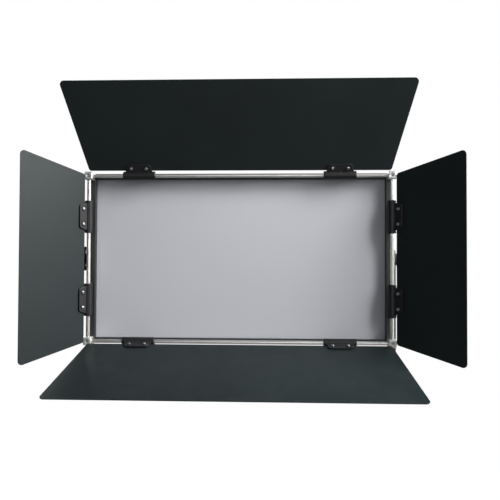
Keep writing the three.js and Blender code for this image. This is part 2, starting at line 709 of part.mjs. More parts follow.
// A flat strap bent into a U, with round eyes on the tilt axis and holes in the bar.
function yokeBracket() {
  const { inside, thick, wide, drop, bend, eye } = YOKE;
  const outside = inside + thick;
  const outerBend = bend + thick;
  const strap = [
    ...points([-outside, 0]),
    ...arc(-outside + outerBend, -drop - thick + outerBend, outerBend, 180, 270, 6),
    ...arc(outside - outerBend, -drop - thick + outerBend, outerBend, 270, 360, 6),
    ...points([outside, 0], [inside, 0]),
    ...arc(inside - bend, -drop + bend, bend, 0, -90, 6),
    ...arc(-inside + bend, -drop + bend, bend, -90, -180, 6),
    ...points([-inside, 0]),
  ];
  const eyeDisc = circle(eye, 32);
  const body = cut(
    join(
      prism(strap, 'y', -wide / 2, wide / 2),
      prism(eyeDisc, 'x', inside, outside),
      prism(eyeDisc, 'x', -outside, -inside),
    ),
    prism(circle(CLAMP_HOLE_R, 20), 'x', -outside - 1, outside + 1),
    ...YOKE_HOLES.map((x) => prism(circle(CLAMP_HOLE_R, 16, x, 0), 'z', -drop - thick - 1, -drop + 1)),
  );
  return moved(body, 0, 0, HEAD_Z);
}

function standReceiver() {
  const { r, bore, depth, chamfer, boltDeep } = SOCKET;
  const top = BAR_UNDER - GAP;
  const outline = [[0, 0], [r - chamfer, 0], [r, chamfer], [r, top], [0, top]];
  return cut(
    turned(outline, 'z', 32),
    prism(circle(bore), 'z', -1, depth),
    prism(circle(CLAMP_BOLT_R + GAP, 16), 'z', top - boltDeep, top + 1),
    prism(circle(CLAMP_SCREW.r + GAP, 16, 0, CLAMP_SCREW.z), 'y', bore - 2, r + 1),
  );
}

function receiverBolt() {
  const headFrom = BAR_TOP + GAP;
  const hexagon = circle(RECEIVER_BOLT.headR, 6);
  return join(
    prism(hexagon, 'z', headFrom, headFrom + RECEIVER_BOLT.headTall),
    prism(circle(CLAMP_BOLT_R, 16), 'z', BAR_UNDER - GAP - RECEIVER_BOLT.deep, headFrom + 1),
  );
}

// A wing knob and its screw, square to the socket.
function receiverKnob() {
  const { r, z, end } = CLAMP_SCREW;
  return join(
    prism(circle(r, 16, 0, z), 'y', SOCKET.bore + GAP, end),
    prism(circle(WING.hubR, 24, 0, z), 'y', WING.hubFrom, WING.to),
    prism(roundedRect(WING.w, WING.h, WING.round, 0, z, 5), 'y', WING.from, WING.to),
  );
}

function yoke() {
  const group = new THREE.Group();
  group.add(node('yoke_bracket', yokeBracket(), MATERIALS.yoke));
  group.add(node('stand_receiver', standReceiver(), MATERIALS.steel));
  group.add(node('receiver_bolt', receiverBolt(), MATERIALS.steel));
  group.add(node('receiver_knob', receiverKnob(), MATERIALS.plastic));
  return group;
}

// ---------------------------------------------------------------- the light

const head = new THREE.Group();
head.position.set(0, -PIVOT_DEPTH, HEAD_Z);
head.add(barnDoors(), lightSource(), controlUnit(), tiltClamps());

const light = new THREE.Group();
light.add(head, yoke());

export default light;
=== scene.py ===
"""LED panel light with four barn doors in a yoke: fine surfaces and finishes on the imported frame.

Shapes are worked out in millimetres and placed in the row frame, in metres.
"""

import json
import math

import bpy
import numpy as np
from mathutils import Matrix, Vector


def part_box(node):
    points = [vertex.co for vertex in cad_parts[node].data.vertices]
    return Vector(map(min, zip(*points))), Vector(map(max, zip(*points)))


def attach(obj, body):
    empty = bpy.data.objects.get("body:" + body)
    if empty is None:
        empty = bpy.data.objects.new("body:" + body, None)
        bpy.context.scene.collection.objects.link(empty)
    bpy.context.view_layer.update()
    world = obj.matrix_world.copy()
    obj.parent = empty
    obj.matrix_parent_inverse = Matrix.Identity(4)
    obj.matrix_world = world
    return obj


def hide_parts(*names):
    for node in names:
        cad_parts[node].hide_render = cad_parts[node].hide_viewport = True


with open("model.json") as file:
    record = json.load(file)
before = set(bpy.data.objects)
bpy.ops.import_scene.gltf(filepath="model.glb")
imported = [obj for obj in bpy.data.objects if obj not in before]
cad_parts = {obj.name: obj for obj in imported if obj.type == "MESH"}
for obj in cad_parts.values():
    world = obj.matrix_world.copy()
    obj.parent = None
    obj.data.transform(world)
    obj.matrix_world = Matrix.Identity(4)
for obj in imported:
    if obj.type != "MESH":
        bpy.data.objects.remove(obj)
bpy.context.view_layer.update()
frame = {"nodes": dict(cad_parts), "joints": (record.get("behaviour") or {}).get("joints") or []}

MM = 0.001
FULL_TURN = 2 * math.pi
JOINTS = {joint["name"]: joint for joint in frame["joints"]}


# ---------------------------------------------------------------- outlines and profiles

def unit(vector):
    return vector / np.linalg.norm(vector)


def fillet(corners, radii, steps=4, hold=0.0, closed=True):
    """Each corner gives way to an arc that meets both its sides; hold adds a point on each side past it."""
    corners = np.asarray(corners, float)
    radii = np.broadcast_to(radii, len(corners))
    out = []
    for i, (corner, radius) in enumerate(zip(corners, radii)):
        is_end = not closed and i in (0, len(corners) - 1)
        if is_end or radius == 0:
            out.append(corner[None])
            continue
        before = unit(corners[i - 1] - corner)
        after = unit(corners[(i + 1) % len(corners)] - corner)
        half = math.acos(np.clip(before @ after, -1, 1)) / 2
        centre = corner + unit(before + after) * radius / math.sin(half)
        start = corner + before * radius / math.tan(half) - centre
        stop = corner + after * radius / math.tan(half) - centre
        first = math.atan2(start[1], start[0])
        sweep = (math.atan2(stop[1], stop[0]) - first + math.pi) % FULL_TURN - math.pi
        angles = first + sweep * np.linspace(0, 1, steps + 1)
        arc = centre + radius * np.column_stack([np.cos(angles), np.sin(angles)])
        if hold:
            arc = np.vstack([arc[:1] + before * hold, arc, arc[-1:] + after * hold])
        out.append(arc)
    return np.vstack(out)


def rounded_rect(width, height, radius, steps=6, centre=(0, 0)):
    """A rectangle about its centre with a quarter circle at each corner."""
    radius = min(radius, width / 2 - 0.01, height / 2 - 0.01)
    quarter = np.linspace(0, math.pi / 2, steps + 1)
    angles = np.concatenate([quarter + k * math.pi / 2 for k in range(4)])
    signs = np.repeat([[1, 1], [-1, 1], [-1, -1], [1, -1]], steps + 1, axis=0)
    middles = signs * [width / 2 - radius, height / 2 - radius]
    return middles + radius * np.column_stack([np.cos(angles), np.sin(angles)]) + centre


def circle(radius, steps=32, centre=(0, 0)):
    """Evenly spaced points at one distance from the centre."""
    angles = np.linspace(0, FULL_TURN, steps, endpoint=False)
    return radius * np.column_stack([np.cos(angles), np.sin(angles)]) + centre


def inset_outline(outline, inset):
    """Each point moves inwards along the bisector of its two sides, so that every side moves by the inset."""
    x, z = outline.T
    if np.sum(x * np.roll(z, -1) - z * np.roll(x, -1)) < 0:
        inset = -inset
    along = np.roll(outline, -1, axis=0) - outline
    along /= np.linalg.norm(along, axis=1, keepdims=True)
    normal = np.column_stack([-along[:, 1], along[:, 0]])
    before = np.roll(normal, 1, axis=0)
    reach = 1 + np.sum(before * normal, axis=1, keepdims=True)
    return outline + inset * (before + normal) / np.maximum(reach, LEAST_REACH)


# ---------------------------------------------------------------- surfaces

AXES = {"x": [2, 0, 1], "y": [0, 2, 1], "z": [0, 1, 2]}  # where outline u, v and height go
HOLD = 0.6  # a flat face keeps this margin beside a rounded edge
LEAST_ROUND = 0.3  # no corner of a tray is sharper than this
LEAST_REACH = 0.3  # keeps a very sharp corner's bisector from running away


def skin(rings, ring_of_rings=False):
    """Quads between neighbouring rings of points, capped at each end unless the rings close on themselves."""
    count, around = rings.shape[:2]
    index = np.arange(count * around).reshape(count, around)
    here = index if ring_of_rings else index[:-1]
    there = np.roll(index, -1, axis=0) if ring_of_rings else index[1:]
    quads = np.stack([here, np.roll(here, -1, 1), np.roll(there, -1, 1), there], axis=-1)
    faces = quads.reshape(-1, 4).tolist()
    if not ring_of_rings:
        faces += [index[0][::-1].tolist(), index[-1].tolist()]
    return outward(rings.reshape(-1, 3), faces)


def outward(points, faces):
    """Turns every face over if the signed volume under the faces comes out negative."""
    fans = [[face[0], face[k], face[k + 1]] for face in faces for k in range(1, len(face) - 1)]
    a, b, c = points[np.array(fans).T]
    if np.sum(a * np.cross(b, c)) < 0:
        faces = [face[::-1] for face in faces]
    return points, faces


def slab(outline, low, high, axis="y", edge=0.5, steps=3, edge_low=None):
    """A plate: the outline goes from low to high along an axis, drawn in by a quarter round at each rim."""
    turn = np.linspace(0, math.pi / 2, steps + 1)

    def rim(radius):
        inwards = np.append(radius + HOLD, radius * (1 - np.sin(turn)))
        along = np.append(0, radius * (1 - np.cos(turn)))
        return inwards, along

    low_in, low_up = rim(edge if edge_low is None else edge_low)
    high_in, high_down = rim(edge)
    insets = np.concatenate([low_in, high_in[::-1]])
    heights = np.concatenate([low + low_up, high - high_down[::-1]])
    rings = [
        np.column_stack([inset_outline(outline, inset), np.full(len(outline), height)])
        for inset, height in zip(insets, heights)
    ]
    return skin(np.array(rings)[:, :, AXES[axis]])


def tray(section, width, height, radius, centre=(0, 0), squeeze=1.0, ring_of_rings=False):
    """Each (inset, depth) of the section gives a rounded rectangle that much smaller, at that Y."""
    rings = []
    for inset, depth in section:
        size = width - 2 * inset, height - 2 * inset * squeeze
        outline = rounded_rect(*size, max(radius - inset, LEAST_ROUND), centre=centre)
        rings.append(np.column_stack([outline[:, 0], np.full(len(outline), depth), outline[:, 1]]))
    return skin(np.array(rings), ring_of_rings)


def turned(profile, axis="y", steps=40, centre=(0, 0), ring_of_rings=False, swell=None):
    """Profile points (place along the axis, radius) spun round it; swell(angle, place) adds to the radius."""
    profile = np.asarray(profile, float)
    angles = np.linspace(0, FULL_TURN, steps, endpoint=False)
    place, radius = np.broadcast_arrays(profile[:, :1], profile[:, 1:] + 0 * angles)
    if swell is not None:
        radius = radius + swell(angles, place)
    u = radius * np.cos(angles) + centre[0]
    v = radius * np.sin(angles) + centre[1]
    order = {"x": [place, u, v], "y": [u, place, v], "z": [u, v, place]}[axis]
    return skin(np.stack(order, axis=-1), ring_of_rings)


def profile_of(corners, radii=0.5, steps=3):
    """A turned piece's half outline with its corners rounded; its two ends stay as they are."""
    return fillet(corners, radii, steps, hold=0.3, closed=False)


def carried(path, sections, across):
    """Sections (across, outwards) stand square to a flat path; across points out of the path's plane."""
    ahead = np.gradient(path, axis=0)
    ahead /= np.linalg.norm(ahead, axis=1, keepdims=True)
    side = np.cross(ahead, across)
    offsets = sections[:, :, :1] * np.asarray(across, float) + sections[:, :, 1:] * side[:, None]
    return skin(path[:, None] + offsets)


def moved(shell, offset):
    points, faces = shell
    return points + np.asarray(offset, float), faces


def placed(shell, matrix):
    points, faces = shell
    return points @ matrix[:3, :3].T + matrix[:3, 3], faces


def mirrored(shell, axis=0):
    points, faces = shell
    flip = np.ones(3)
    flip[axis] = -1
    return points * flip, [face[::-1] for face in faces]


def joined(shells):
    """One list of points and faces from several shells."""
    points, faces, start = [], [], 0
    for shell_points, shell_faces in shells:
        points.append(shell_points)
        faces += [[start + i for i in face] for face in shell_faces]
        start += len(shell_points)
    return np.vstack(points), faces


def loose_mesh(name, shells):
    points, faces = joined(shells)
    mesh = bpy.data.meshes.new(name)
    mesh.from_pydata((points * MM).tolist(), [], faces)
    return mesh


def carved(shells, cutters):
    """The shells as one solid, less the cutters, by an exact boolean."""
    body = bpy.data.objects.new("carving", loose_mesh("carving", shells))
    tool = bpy.data.objects.new("cutter", loose_mesh("cutter", cutters))
    for obj in (body, tool):
        bpy.context.scene.collection.objects.link(obj)
    cut = body.modifiers.new("cut", "BOOLEAN")
    cut.operation = "DIFFERENCE"
    cut.solver = "EXACT"
    cut.use_self = True
    cut.object = tool
    bpy.context.view_layer.update()
    mesh = body.evaluated_get(bpy.context.evaluated_depsgraph_get()).to_mesh()
    points = np.zeros(len(mesh.vertices) * 3)
    mesh.vertices.foreach_get("co", points)
    faces = [list(polygon.vertices) for polygon in mesh.polygons]
    for obj in (body, tool):
        bpy.data.objects.remove(obj)
    return points.reshape(-1, 3) / MM, faces


BEVEL_ABOVE = 40  # degrees between faces
PRINTED = "index_white"  # marks in this finish have no slot of their own in the record


def piece(name, shells, finish, body, stands_for=(), smooth_below=38, bevel=0.0):
    """Makes the object from shells in row-frame millimetres, finishes it and sets it on its body."""
    mesh = loose_mesh(name, shells if isinstance(shells, list) else [shells])
    mesh.polygons.foreach_set("use_smooth", np.ones(len(mesh.polygons), bool))
    mesh.set_sharp_from_angle(angle=math.radians(smooth_below))
    mesh.materials.append(FINISHES[finish])
    obj = bpy.data.objects.new(name, mesh)
    bpy.context.scene.collection.objects.link(obj)
    if bevel:
        rounding = obj.modifiers.new("rounded_edges", "BEVEL")
        rounding.width = bevel * MM
        rounding.segments = 2
        rounding.limit_method = "ANGLE"
        rounding.angle_limit = math.radians(BEVEL_ABOVE)
        rounding.harden_normals = True
    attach(obj, body)
    if stands_for:
        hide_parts(*stands_for)


# ---------------------------------------------------------------- shared shader groups

def shader_group(name, inputs, outputs):
    """An empty node group with float or vector inputs, given as name: default, and float outputs.

    A default of None makes a vector input. Gives the group, what comes into it, and what goes out of it.
    """
    group = bpy.data.node_groups.new(name, "ShaderNodeTree")
    for label, value in inputs.items():
        kind = "NodeSocketVector" if value is None else "NodeSocketFloat"
        socket = group.interface.new_socket(name=label, in_out="INPUT", socket_type=kind)
        if value is not None:
            socket.default_value = value
    for label in outputs:
        group.interface.new_socket(name=label, in_out="OUTPUT", socket_type="NodeSocketFloat")
    return group, group.nodes.new("NodeGroupInput").outputs, group.nodes.new("NodeGroupOutput").inputs


def wire(tree, source, target):
    """Joins an output to an input, or sets the input when the source is a plain value."""
    if isinstance(source, bpy.types.NodeSocket):
        tree.links.new(source, target)
    else:
        target.default_value = source


def math_node(tree, operation, first, second=0.0, clamp=False):
    node = tree.nodes.new("ShaderNodeMath")
    node.operation = operation
    node.use_clamp = clamp
    wire(tree, first, node.inputs[0])
    wire(tree, second, node.inputs[1])
    return node.outputs[0]


def ramp_between(tree, value, low, high, out_low=0.0, out_high=1.0):
    node = tree.nodes.new("ShaderNodeMapRange")
    node.interpolation_type = "SMOOTHSTEP"
    for key, source in (("Value", value), ("From Min", low), ("From Max", high),
                        ("To Min", out_low), ("To Max", out_high)):
        wire(tree, source, node.inputs[key])
    return node.outputs["Result"]


def noise(tree, vector, scale, detail=2.0, roughness=0.5):
    node = tree.nodes.new("ShaderNodeTexNoise")
    wire(tree, vector, node.inputs["Vector"])
    wire(tree, scale, node.inputs["Scale"])
    wire(tree, detail, node.inputs["Detail"])
    wire(tree, roughness, node.inputs["Roughness"])
    return node.outputs["Fac"]


def stretched(tree, vector, scale):
    """The same coordinates squeezed by a fixed amount along each axis."""
    node = tree.nodes.new("ShaderNodeMapping")
    wire(tree, vector, node.inputs["Vector"])
    node.inputs["Scale"].default_value = scale
    return node.outputs["Vector"]


def coating_grain():
    """Fine grain with a slow unevenness under it: two sizes of noise, mixed by weight."""
    defaults = {"Vector": None, "Fine Scale": 900.0, "Slow Scale": 12.0, "Slow Share": 0.3}
    group, inputs, outputs = shader_group("coating_grain", defaults, ["Height", "Tone"])
    fine = noise(group, inputs["Vector"], inputs["Fine Scale"], 3.0, 0.6)
    slow = noise(group, inputs["Vector"], inputs["Slow Scale"], 3.0, 0.55)
    share = inputs["Slow Share"]
    rest = math_node(group, "SUBTRACT", 1.0, share)
    fine_part = math_node(group, "MULTIPLY", fine, rest)
    slow_part = math_node(group, "MULTIPLY", slow, share)
    wire(group, math_node(group, "ADD", fine_part, slow_part), outputs["Height"])
    wire(group, ramp_between(group, slow, 0.3, 0.7), outputs["Tone"])
    return group


def edge_wear():
    """Paint rubbed thin on outer edges: where the mesh bulges, broken up by noise."""
    defaults = {"Vector": None, "Amount": 0.5, "Breakup Scale": 160.0}
    group, inputs, outputs = shader_group("edge_wear", defaults, ["Mask"])
    geometry = group.nodes.new("ShaderNodeNewGeometry")
    bulge = ramp_between(group, geometry.outputs["Pointiness"], 0.52, 0.62)
    patches = noise(group, inputs["Vector"], inputs["Breakup Scale"], 4.0, 0.6)
    broken = ramp_between(group, patches, 0.47, 0.68)
    worn = math_node(group, "MULTIPLY", bulge, broken)
    wire(group, math_node(group, "MULTIPLY", worn, inputs["Amount"], True), outputs["Mask"])
    return group


def settled_dust():
    """Pale dust on faces that look up, gathered in soft patches and speckled."""
    defaults = {"Vector": None, "Amount": 0.2, "Patch Scale": 25.0}
    group, inputs, outputs = shader_group("settled_dust", defaults, ["Mask"])
    where = group.nodes.new("ShaderNodeTexCoord")
    split = group.nodes.new("ShaderNodeSeparateXYZ")
    wire(group, where.outputs["Normal"], split.inputs[0])
    upward = ramp_between(group, split.outputs["Z"], -0.1, 0.9, 0.12, 1.0)
    soft = noise(group, inputs["Vector"], inputs["Patch Scale"], 4.0, 0.65)
    patches = ramp_between(group, soft, 0.35, 0.75)
    specks = ramp_between(group, noise(group, inputs["Vector"], 1500.0, 1.0), 0.56, 0.72)
    cover = math_node(group, "ADD", patches, math_node(group, "MULTIPLY", specks, 0.6))
    both = math_node(group, "MULTIPLY", upward, cover)
    wire(group, math_node(group, "MULTIPLY", both, inputs["Amount"], True), outputs["Mask"])
    return group


def handling_marks():
    """Fine scratches in two directions and soft smudges left by hands."""
    defaults = {"Vector": None, "Scratches": 0.3, "Smudges": 0.3}
    group, inputs, outputs = shader_group("handling_marks", defaults, ["Scratch", "Smudge"])
    lines = []
    for scale in ((14.0, 60.0, 700.0), (650.0, 40.0, 18.0)):
        stroke = noise(group, stretched(group, inputs["Vector"], scale), 1.0, 1.0)
        lines.append(ramp_between(group, stroke, 0.69, 0.74))
    where = ramp_between(group, noise(group, inputs["Vector"], 18.0, 2.0), 0.45, 0.65)
    any_line = math_node(group, "MAXIMUM", lines[0], lines[1])
    gathered = math_node(group, "MULTIPLY", any_line, where)
    wire(group, math_node(group, "MULTIPLY", gathered, inputs["Scratches"], True), outputs["Scratch"])
    smudge = ramp_between(group, noise(group, inputs["Vector"], 32.0, 3.0, 0.6), 0.48, 0.7)
    wire(group, math_node(group, "MULTIPLY", smudge, inputs["Smudges"], True), outputs["Smudge"])
    return group


GROUPS = {build.__name__: build() for build in (coating_grain, edge_wear, settled_dust, handling_marks)}


# ---------------------------------------------------------------- finishes

def colour_mix(tree, mask, first, second):
    node = tree.nodes.new("ShaderNodeMix")
    node.data_type = "RGBA"
    wire(tree, mask, node.inputs["Factor"])
    for socket, colour in ((node.inputs[6], first), (node.inputs[7], second)):
        wire(tree, (*colour, 1.0) if isinstance(colour, tuple) else colour, socket)
    return node.outputs[2]


def place_group(tree, name, vector, **values):
    node = tree.nodes.new("ShaderNodeGroup")
    node.node_tree = GROUPS[name]
    wire(tree, vector, node.inputs["Vector"])
    for key, value in values.items():
        node.inputs[key.replace("_", " ").title()].default_value = value
    return node.outputs


DUST = (0.42, 0.41, 0.39)
ROUGHNESS_SPREAD = 0.06  # the grain moves the roughness this much either way


def make_finish(name, colour, roughness, metallic=0.0, stretch=(1.0, 1.0, 1.0), fine=900.0, slow=12.0,
                uneven=0.12, relief=0.03, bump=0.25, worn=None, wear=0.0, dust=0.0, scratches=0.2,
                smudges=0.25, specular=0.5, coat=0.0, pattern=None):
    """One surface: grain tones the colour and roughness, then scratches, dust and worn edges lie over it.

    fine and slow are noise scales to the metre, relief is in millimetres, and wear, dust, scratches and
    smudges are amounts from 0 to 1.
    """
    material = bpy.data.materials.new(name)
    material.use_nodes = True
    tree = material.node_tree
    shader = tree.nodes["Principled BSDF"]
    where = tree.nodes.new("ShaderNodeTexCoord").outputs["Object"]
    along = stretched(tree, where, stretch)
    grain = place_group(tree, "coating_grain", along, fine_scale=fine, slow_scale=slow, slow_share=0.3)
    marks = place_group(tree, "handling_marks", where, scratches=scratches, smudges=smudges)
    low = tuple(c * (1 - uneven) for c in colour)
    high = tuple(min(1.0, c * (1 + uneven)) for c in colour)
    tone = colour_mix(tree, grain["Tone"], low, high)
    if pattern is not None:
        tone = pattern(tree, where, tone)
    lighter = tuple(min(1.0, 1.6 * c + 0.05) for c in colour)
    tone = colour_mix(tree, marks["Scratch"], tone, lighter)
    if dust:
        settled = place_group(tree, "settled_dust", where, amount=dust, patch_scale=25.0)["Mask"]
        tone = colour_mix(tree, settled, tone, DUST)
    smoothest, roughest = roughness - ROUGHNESS_SPREAD, roughness + ROUGHNESS_SPREAD
    rough = ramp_between(tree, grain["Height"], 0.3, 0.7, smoothest, roughest)
    rough = math_node(tree, "ADD", rough, math_node(tree, "MULTIPLY", marks["Smudge"], 0.12), True)
    if wear:
        bare = place_group(tree, "edge_wear", where, amount=wear, breakup_scale=160.0)["Mask"]
        tone = colour_mix(tree, bare, tone, worn)
        rough = math_node(tree, "SUBTRACT", rough, math_node(tree, "MULTIPLY", bare, 0.2), True)
    wire(tree, tone, shader.inputs["Base Color"])
    wire(tree, rough, shader.inputs["Roughness"])
    raised = tree.nodes.new("ShaderNodeBump")
    raised.inputs["Strength"].default_value = bump
    raised.inputs["Distance"].default_value = relief * MM
    scored = math_node(tree, "SUBTRACT", grain["Height"], math_node(tree, "MULTIPLY", marks["Scratch"], 0.4))
    wire(tree, scored, raised.inputs["Height"])
    wire(tree, raised.outputs["Normal"], shader.inputs["Normal"])
    shader.inputs["Metallic"].default_value = metallic
    shader.inputs["Specular IOR Level"].default_value = specular
    shader.inputs["Coat Weight"].default_value = coat
    return material


def led_dots(tree, where, tone):
    """A warm and cool LED chip every 16 mm along each strip of the board."""
    cells = tree.nodes.new("ShaderNodeTexVoronoi")
    cells.inputs["Scale"].default_value = 62.0
    cells.inputs["Randomness"].default_value = 0.0
    wire(tree, where, cells.inputs["Vector"])
    chip = ramp_between(tree, cells.outputs["Distance"], 0.16, 0.2, 1.0, 0.0)
    return colour_mix(tree, chip, tone, (0.8, 0.62, 0.12))


def copper_tracks(tree, where, tone):
    """Thin paler tracks that step across a circuit board."""
    cells = tree.nodes.new("ShaderNodeTexVoronoi")
    cells.feature = "DISTANCE_TO_EDGE"
    cells.distance = "MANHATTAN"
    cells.inputs["Scale"].default_value = 220.0
    wire(tree, where, cells.inputs["Vector"])
    track = ramp_between(tree, cells.outputs["Distance"], 0.04, 0.07, 1.0, 0.0)
    return colour_mix(tree, track, tone, (0.10, 0.32, 0.16))


STEEL = (0.36, 0.37, 0.38)
RECIPES = {
    "leaf_black": dict(
        colour=(0.0125, 0.0205, 0.0215), roughness=0.43, fine=1100.0, slow=5.0, uneven=0.10, relief=0.035,
        bump=0.3, worn=STEEL, wear=0.35, dust=0.015, scratches=0.10, smudges=0.3, specular=0.36),
    "clip_black": dict(
        colour=(0.008, 0.008, 0.0105), roughness=0.46, fine=700.0, slow=60.0, relief=0.03, bump=0.3,
        worn=(0.12, 0.12, 0.13), wear=0.25, dust=0.03, scratches=0.2),
    "rod_chrome": dict(
        colour=(0.84, 0.83, 0.80), roughness=0.36, metallic=1.0, fine=1600.0, slow=14.0, uneven=0.04,
        relief=0.001, bump=0.02, scratches=0.0, smudges=0.05),
    "block_silver": dict(
        colour=(0.82, 0.82, 0.80), roughness=0.34, metallic=0.6, fine=650.0, slow=90.0, uneven=0.06,
        relief=0.03, bump=0.3, worn=(0.8, 0.8, 0.79), wear=0.5, scratches=0.3),
    "bezel_black": dict(
        colour=(0.019, 0.021, 0.022), roughness=0.42, fine=800.0, slow=9.0, relief=0.03, bump=0.3,
        worn=STEEL, wear=0.2, dust=0.02, scratches=0.12),
    "housing_black": dict(
        colour=(0.034, 0.036, 0.038), roughness=0.55, fine=650.0, slow=10.0, relief=0.06, bump=0.5,
        worn=STEEL, wear=0.45, dust=0.09, scratches=0.18),
    "diffuser_opal": dict(
        colour=(0.785, 0.80, 0.86), roughness=0.42, fine=1400.0, slow=3.0, uneven=0.012, relief=0.012,
        bump=0.2, scratches=0.02, smudges=0.25, dust=0.0, specular=0.45),
    "reflector_white": dict(colour=(0.86, 0.86, 0.85), roughness=0.65, uneven=0.03, scratches=0.05),
    "led_board": dict(
        colour=(0.80, 0.80, 0.77), roughness=0.5, uneven=0.03, scratches=0.05, pattern=led_dots),
    "bare_aluminium": dict(
        colour=(0.60, 0.61, 0.62), roughness=0.38, metallic=1.0, stretch=(1.0, 1.0, 0.05), fine=1200.0,
        slow=40.0, uneven=0.12, relief=0.02, bump=0.25, scratches=0.3),
    "circuit_board": dict(
        colour=(0.02, 0.12, 0.05), roughness=0.4, uneven=0.1, scratches=0.05, pattern=copper_tracks),
    "window": dict(
        colour=(0.012, 0.016, 0.020), roughness=0.10, fine=300.0, slow=20.0, uneven=0.3, relief=0.003,
        bump=0.1, scratches=0.25, smudges=0.8, dust=0.05),
    "knob_plastic": dict(
        colour=(0.026, 0.027, 0.029), roughness=0.45, fine=520.0, slow=50.0, relief=0.05, bump=0.4,
        worn=(0.13, 0.13, 0.13), wear=0.45, dust=0.07, scratches=0.25),
    "button_rubber": dict(
        colour=(0.030, 0.030, 0.032), roughness=0.75, fine=900.0, slow=80.0, relief=0.04, bump=0.4,
        dust=0.1, scratches=0.05),
    "washer": dict(
        colour=(0.028, 0.028, 0.028), roughness=0.8, fine=700.0, slow=80.0, relief=0.04, bump=0.4,
        dust=0.08, scratches=0.1),
    "socket_black": dict(
        colour=(0.020, 0.020, 0.021), roughness=0.38, fine=700.0, slow=60.0, relief=0.02, bump=0.3,
        dust=0.05, scratches=0.2),
    "socket_metal": dict(
        colour=(0.42, 0.42, 0.43), roughness=0.34, metallic=1.0, fine=700.0, slow=90.0, uneven=0.12,
        relief=0.03, bump=0.3, worn=(0.66, 0.66, 0.66), wear=0.5, scratches=0.3),
    "zinc_steel": dict(
        colour=(0.50, 0.51, 0.52), roughness=0.30, metallic=1.0, fine=420.0, slow=120.0, uneven=0.18,
        relief=0.03, bump=0.3, worn=(0.75, 0.75, 0.75), wear=0.5, scratches=0.35),
    "yoke_black": dict(
        colour=(0.030, 0.032, 0.034), roughness=0.52, fine=600.0, slow=12.0, relief=0.06, bump=0.45,
        worn=STEEL, wear=0.6, dust=0.08, scratches=0.3),
    "switch_red": dict(
        colour=(0.48, 0.030, 0.022), roughness=0.32, fine=500.0, slow=80.0, uneven=0.08, relief=0.02,
        bump=0.2, scratches=0.2, dust=0.05, coat=0.1),
    "index_white": dict(colour=(0.70, 0.70, 0.68), roughness=0.5, uneven=0.06, scratches=0.1),
}
FINISHES = {name: make_finish(name, **recipe) for name, recipe in RECIPES.items()}


# ---------------------------------------------------------------- places taken from the frame

def box_mm(node):
    """A node's lowest and highest corner."""
    low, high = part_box(node)
    return np.array(low) / MM, np.array(high) / MM


def box_and_middle(node):
    low, high = box_mm(node)
    return low, high, (low + high) / 2


ROD_LOW, ROD_HIGH = box_mm("rod_top")
SIDE_LOW, SIDE_HIGH = box_mm("rod_right")
ROD_R = (ROD_HIGH[2] - ROD_LOW[2]) / 2
FRAME_TOP = (ROD_LOW[2] + ROD_HIGH[2]) / 2
FRAME_SIDE = (SIDE_LOW[0] + SIDE_HIGH[0]) / 2
HEAD_AT = np.array([0.0, (ROD_LOW[1] + ROD_HIGH[1]) / 2, JOINTS["head_tilt"]["pos_m"][2] / MM])


BOLT_HOLE = 5.4


def head_box(node):
    """A node's lowest and highest corner about the middle of the rods' plane."""
    low, high = box_mm(node)
    return low - HEAD_AT, high - HEAD_AT


def tilt_bore():
    """The hole both tilt bolts run in, through everything on the tilt axis."""
    _, y, z = np.array(JOINTS["head_tilt"]["pos_m"]) / MM
    return turned([(-400.0, BOLT_HOLE), (400.0, BOLT_HOLE)], "x", 48, (y, z))


def on_head(shells):
    return [moved(shell, HEAD_AT) for shell in shells]


def vertices_mm(node):
    mesh = frame["nodes"][node].data
    points = np.zeros(len(mesh.vertices) * 3)
    mesh.vertices.foreach_get("co", points)
    return points.reshape(-1, 3) / MM


def hinge_place(joint_name, node):
    """A leaf's own axes at rest: X along its rod, Z out through the leaf, Y away from the lit face."""
    joint = JOINTS[joint_name]
    at = np.array(joint["pos_m"]) / MM
    along = np.array(joint["axis"], float)
    away = vertices_mm(node).mean(axis=0) - at
    away = unit(away - along * (away @ along))
    back = np.cross(away, along)
    if back[1] < 0:
        along, back = -along, -back
    matrix = np.eye(4)
    matrix[:3] = np.column_stack([along, back, away, at])
    return matrix


def in_place_of(node, matrix):
    """The node's lowest and highest corner in a place's own axes."""
    local = (vertices_mm(node) - matrix[:3, 3]) @ matrix[:3, :3]
    return local.min(axis=0), local.max(axis=0)


# ---------------------------------------------------------------- small repeated fittings

# the cross in a screw head, as shares of its radius and height
RECESS = {"wide": 0.13, "long": 0.6, "soft": 0.05, "deep": 0.55}


def pan_head(radius, tall):
    """A screw head along +Z: a shallow dome on a short rim, pressed in where a cross's two arms lie."""
    share = np.concatenate([np.linspace(0.03, 0.96, 13), [1.0, 1.0, 1.0]])[:, None]
    angles = np.linspace(0, FULL_TURN, 48, endpoint=False)[None]
    height = tall * (0.45 + 0.55 * np.sqrt(np.clip(1 - (0.97 * share) ** 2, 0, 1))) + 0 * angles
    x, y = share * np.cos(angles), share * np.sin(angles)

    def inside(distance, limit):
        return np.clip((limit - abs(distance)) / RECESS["soft"] + 0.5, 0, 1)

    arms = np.maximum(inside(x, RECESS["wide"]) * inside(y, RECESS["long"]),
                      inside(y, RECESS["wide"]) * inside(x, RECESS["long"]))
    height = height - RECESS["deep"] * tall * arms
    height[-2:] = [[tall * 0.25], [0.0]]
    return skin(np.stack([x * radius, y * radius, height], axis=-1))


def facing(direction, at):
    """A place whose Z looks along the given direction."""
    z = unit(np.asarray(direction, float))
    x = unit(np.cross([0, 0, 1] if abs(z[2]) < 0.9 else [0, 1, 0], z))
    matrix = np.eye(4)
    matrix[:3] = np.column_stack([x, np.cross(z, x), z, at])
    return matrix


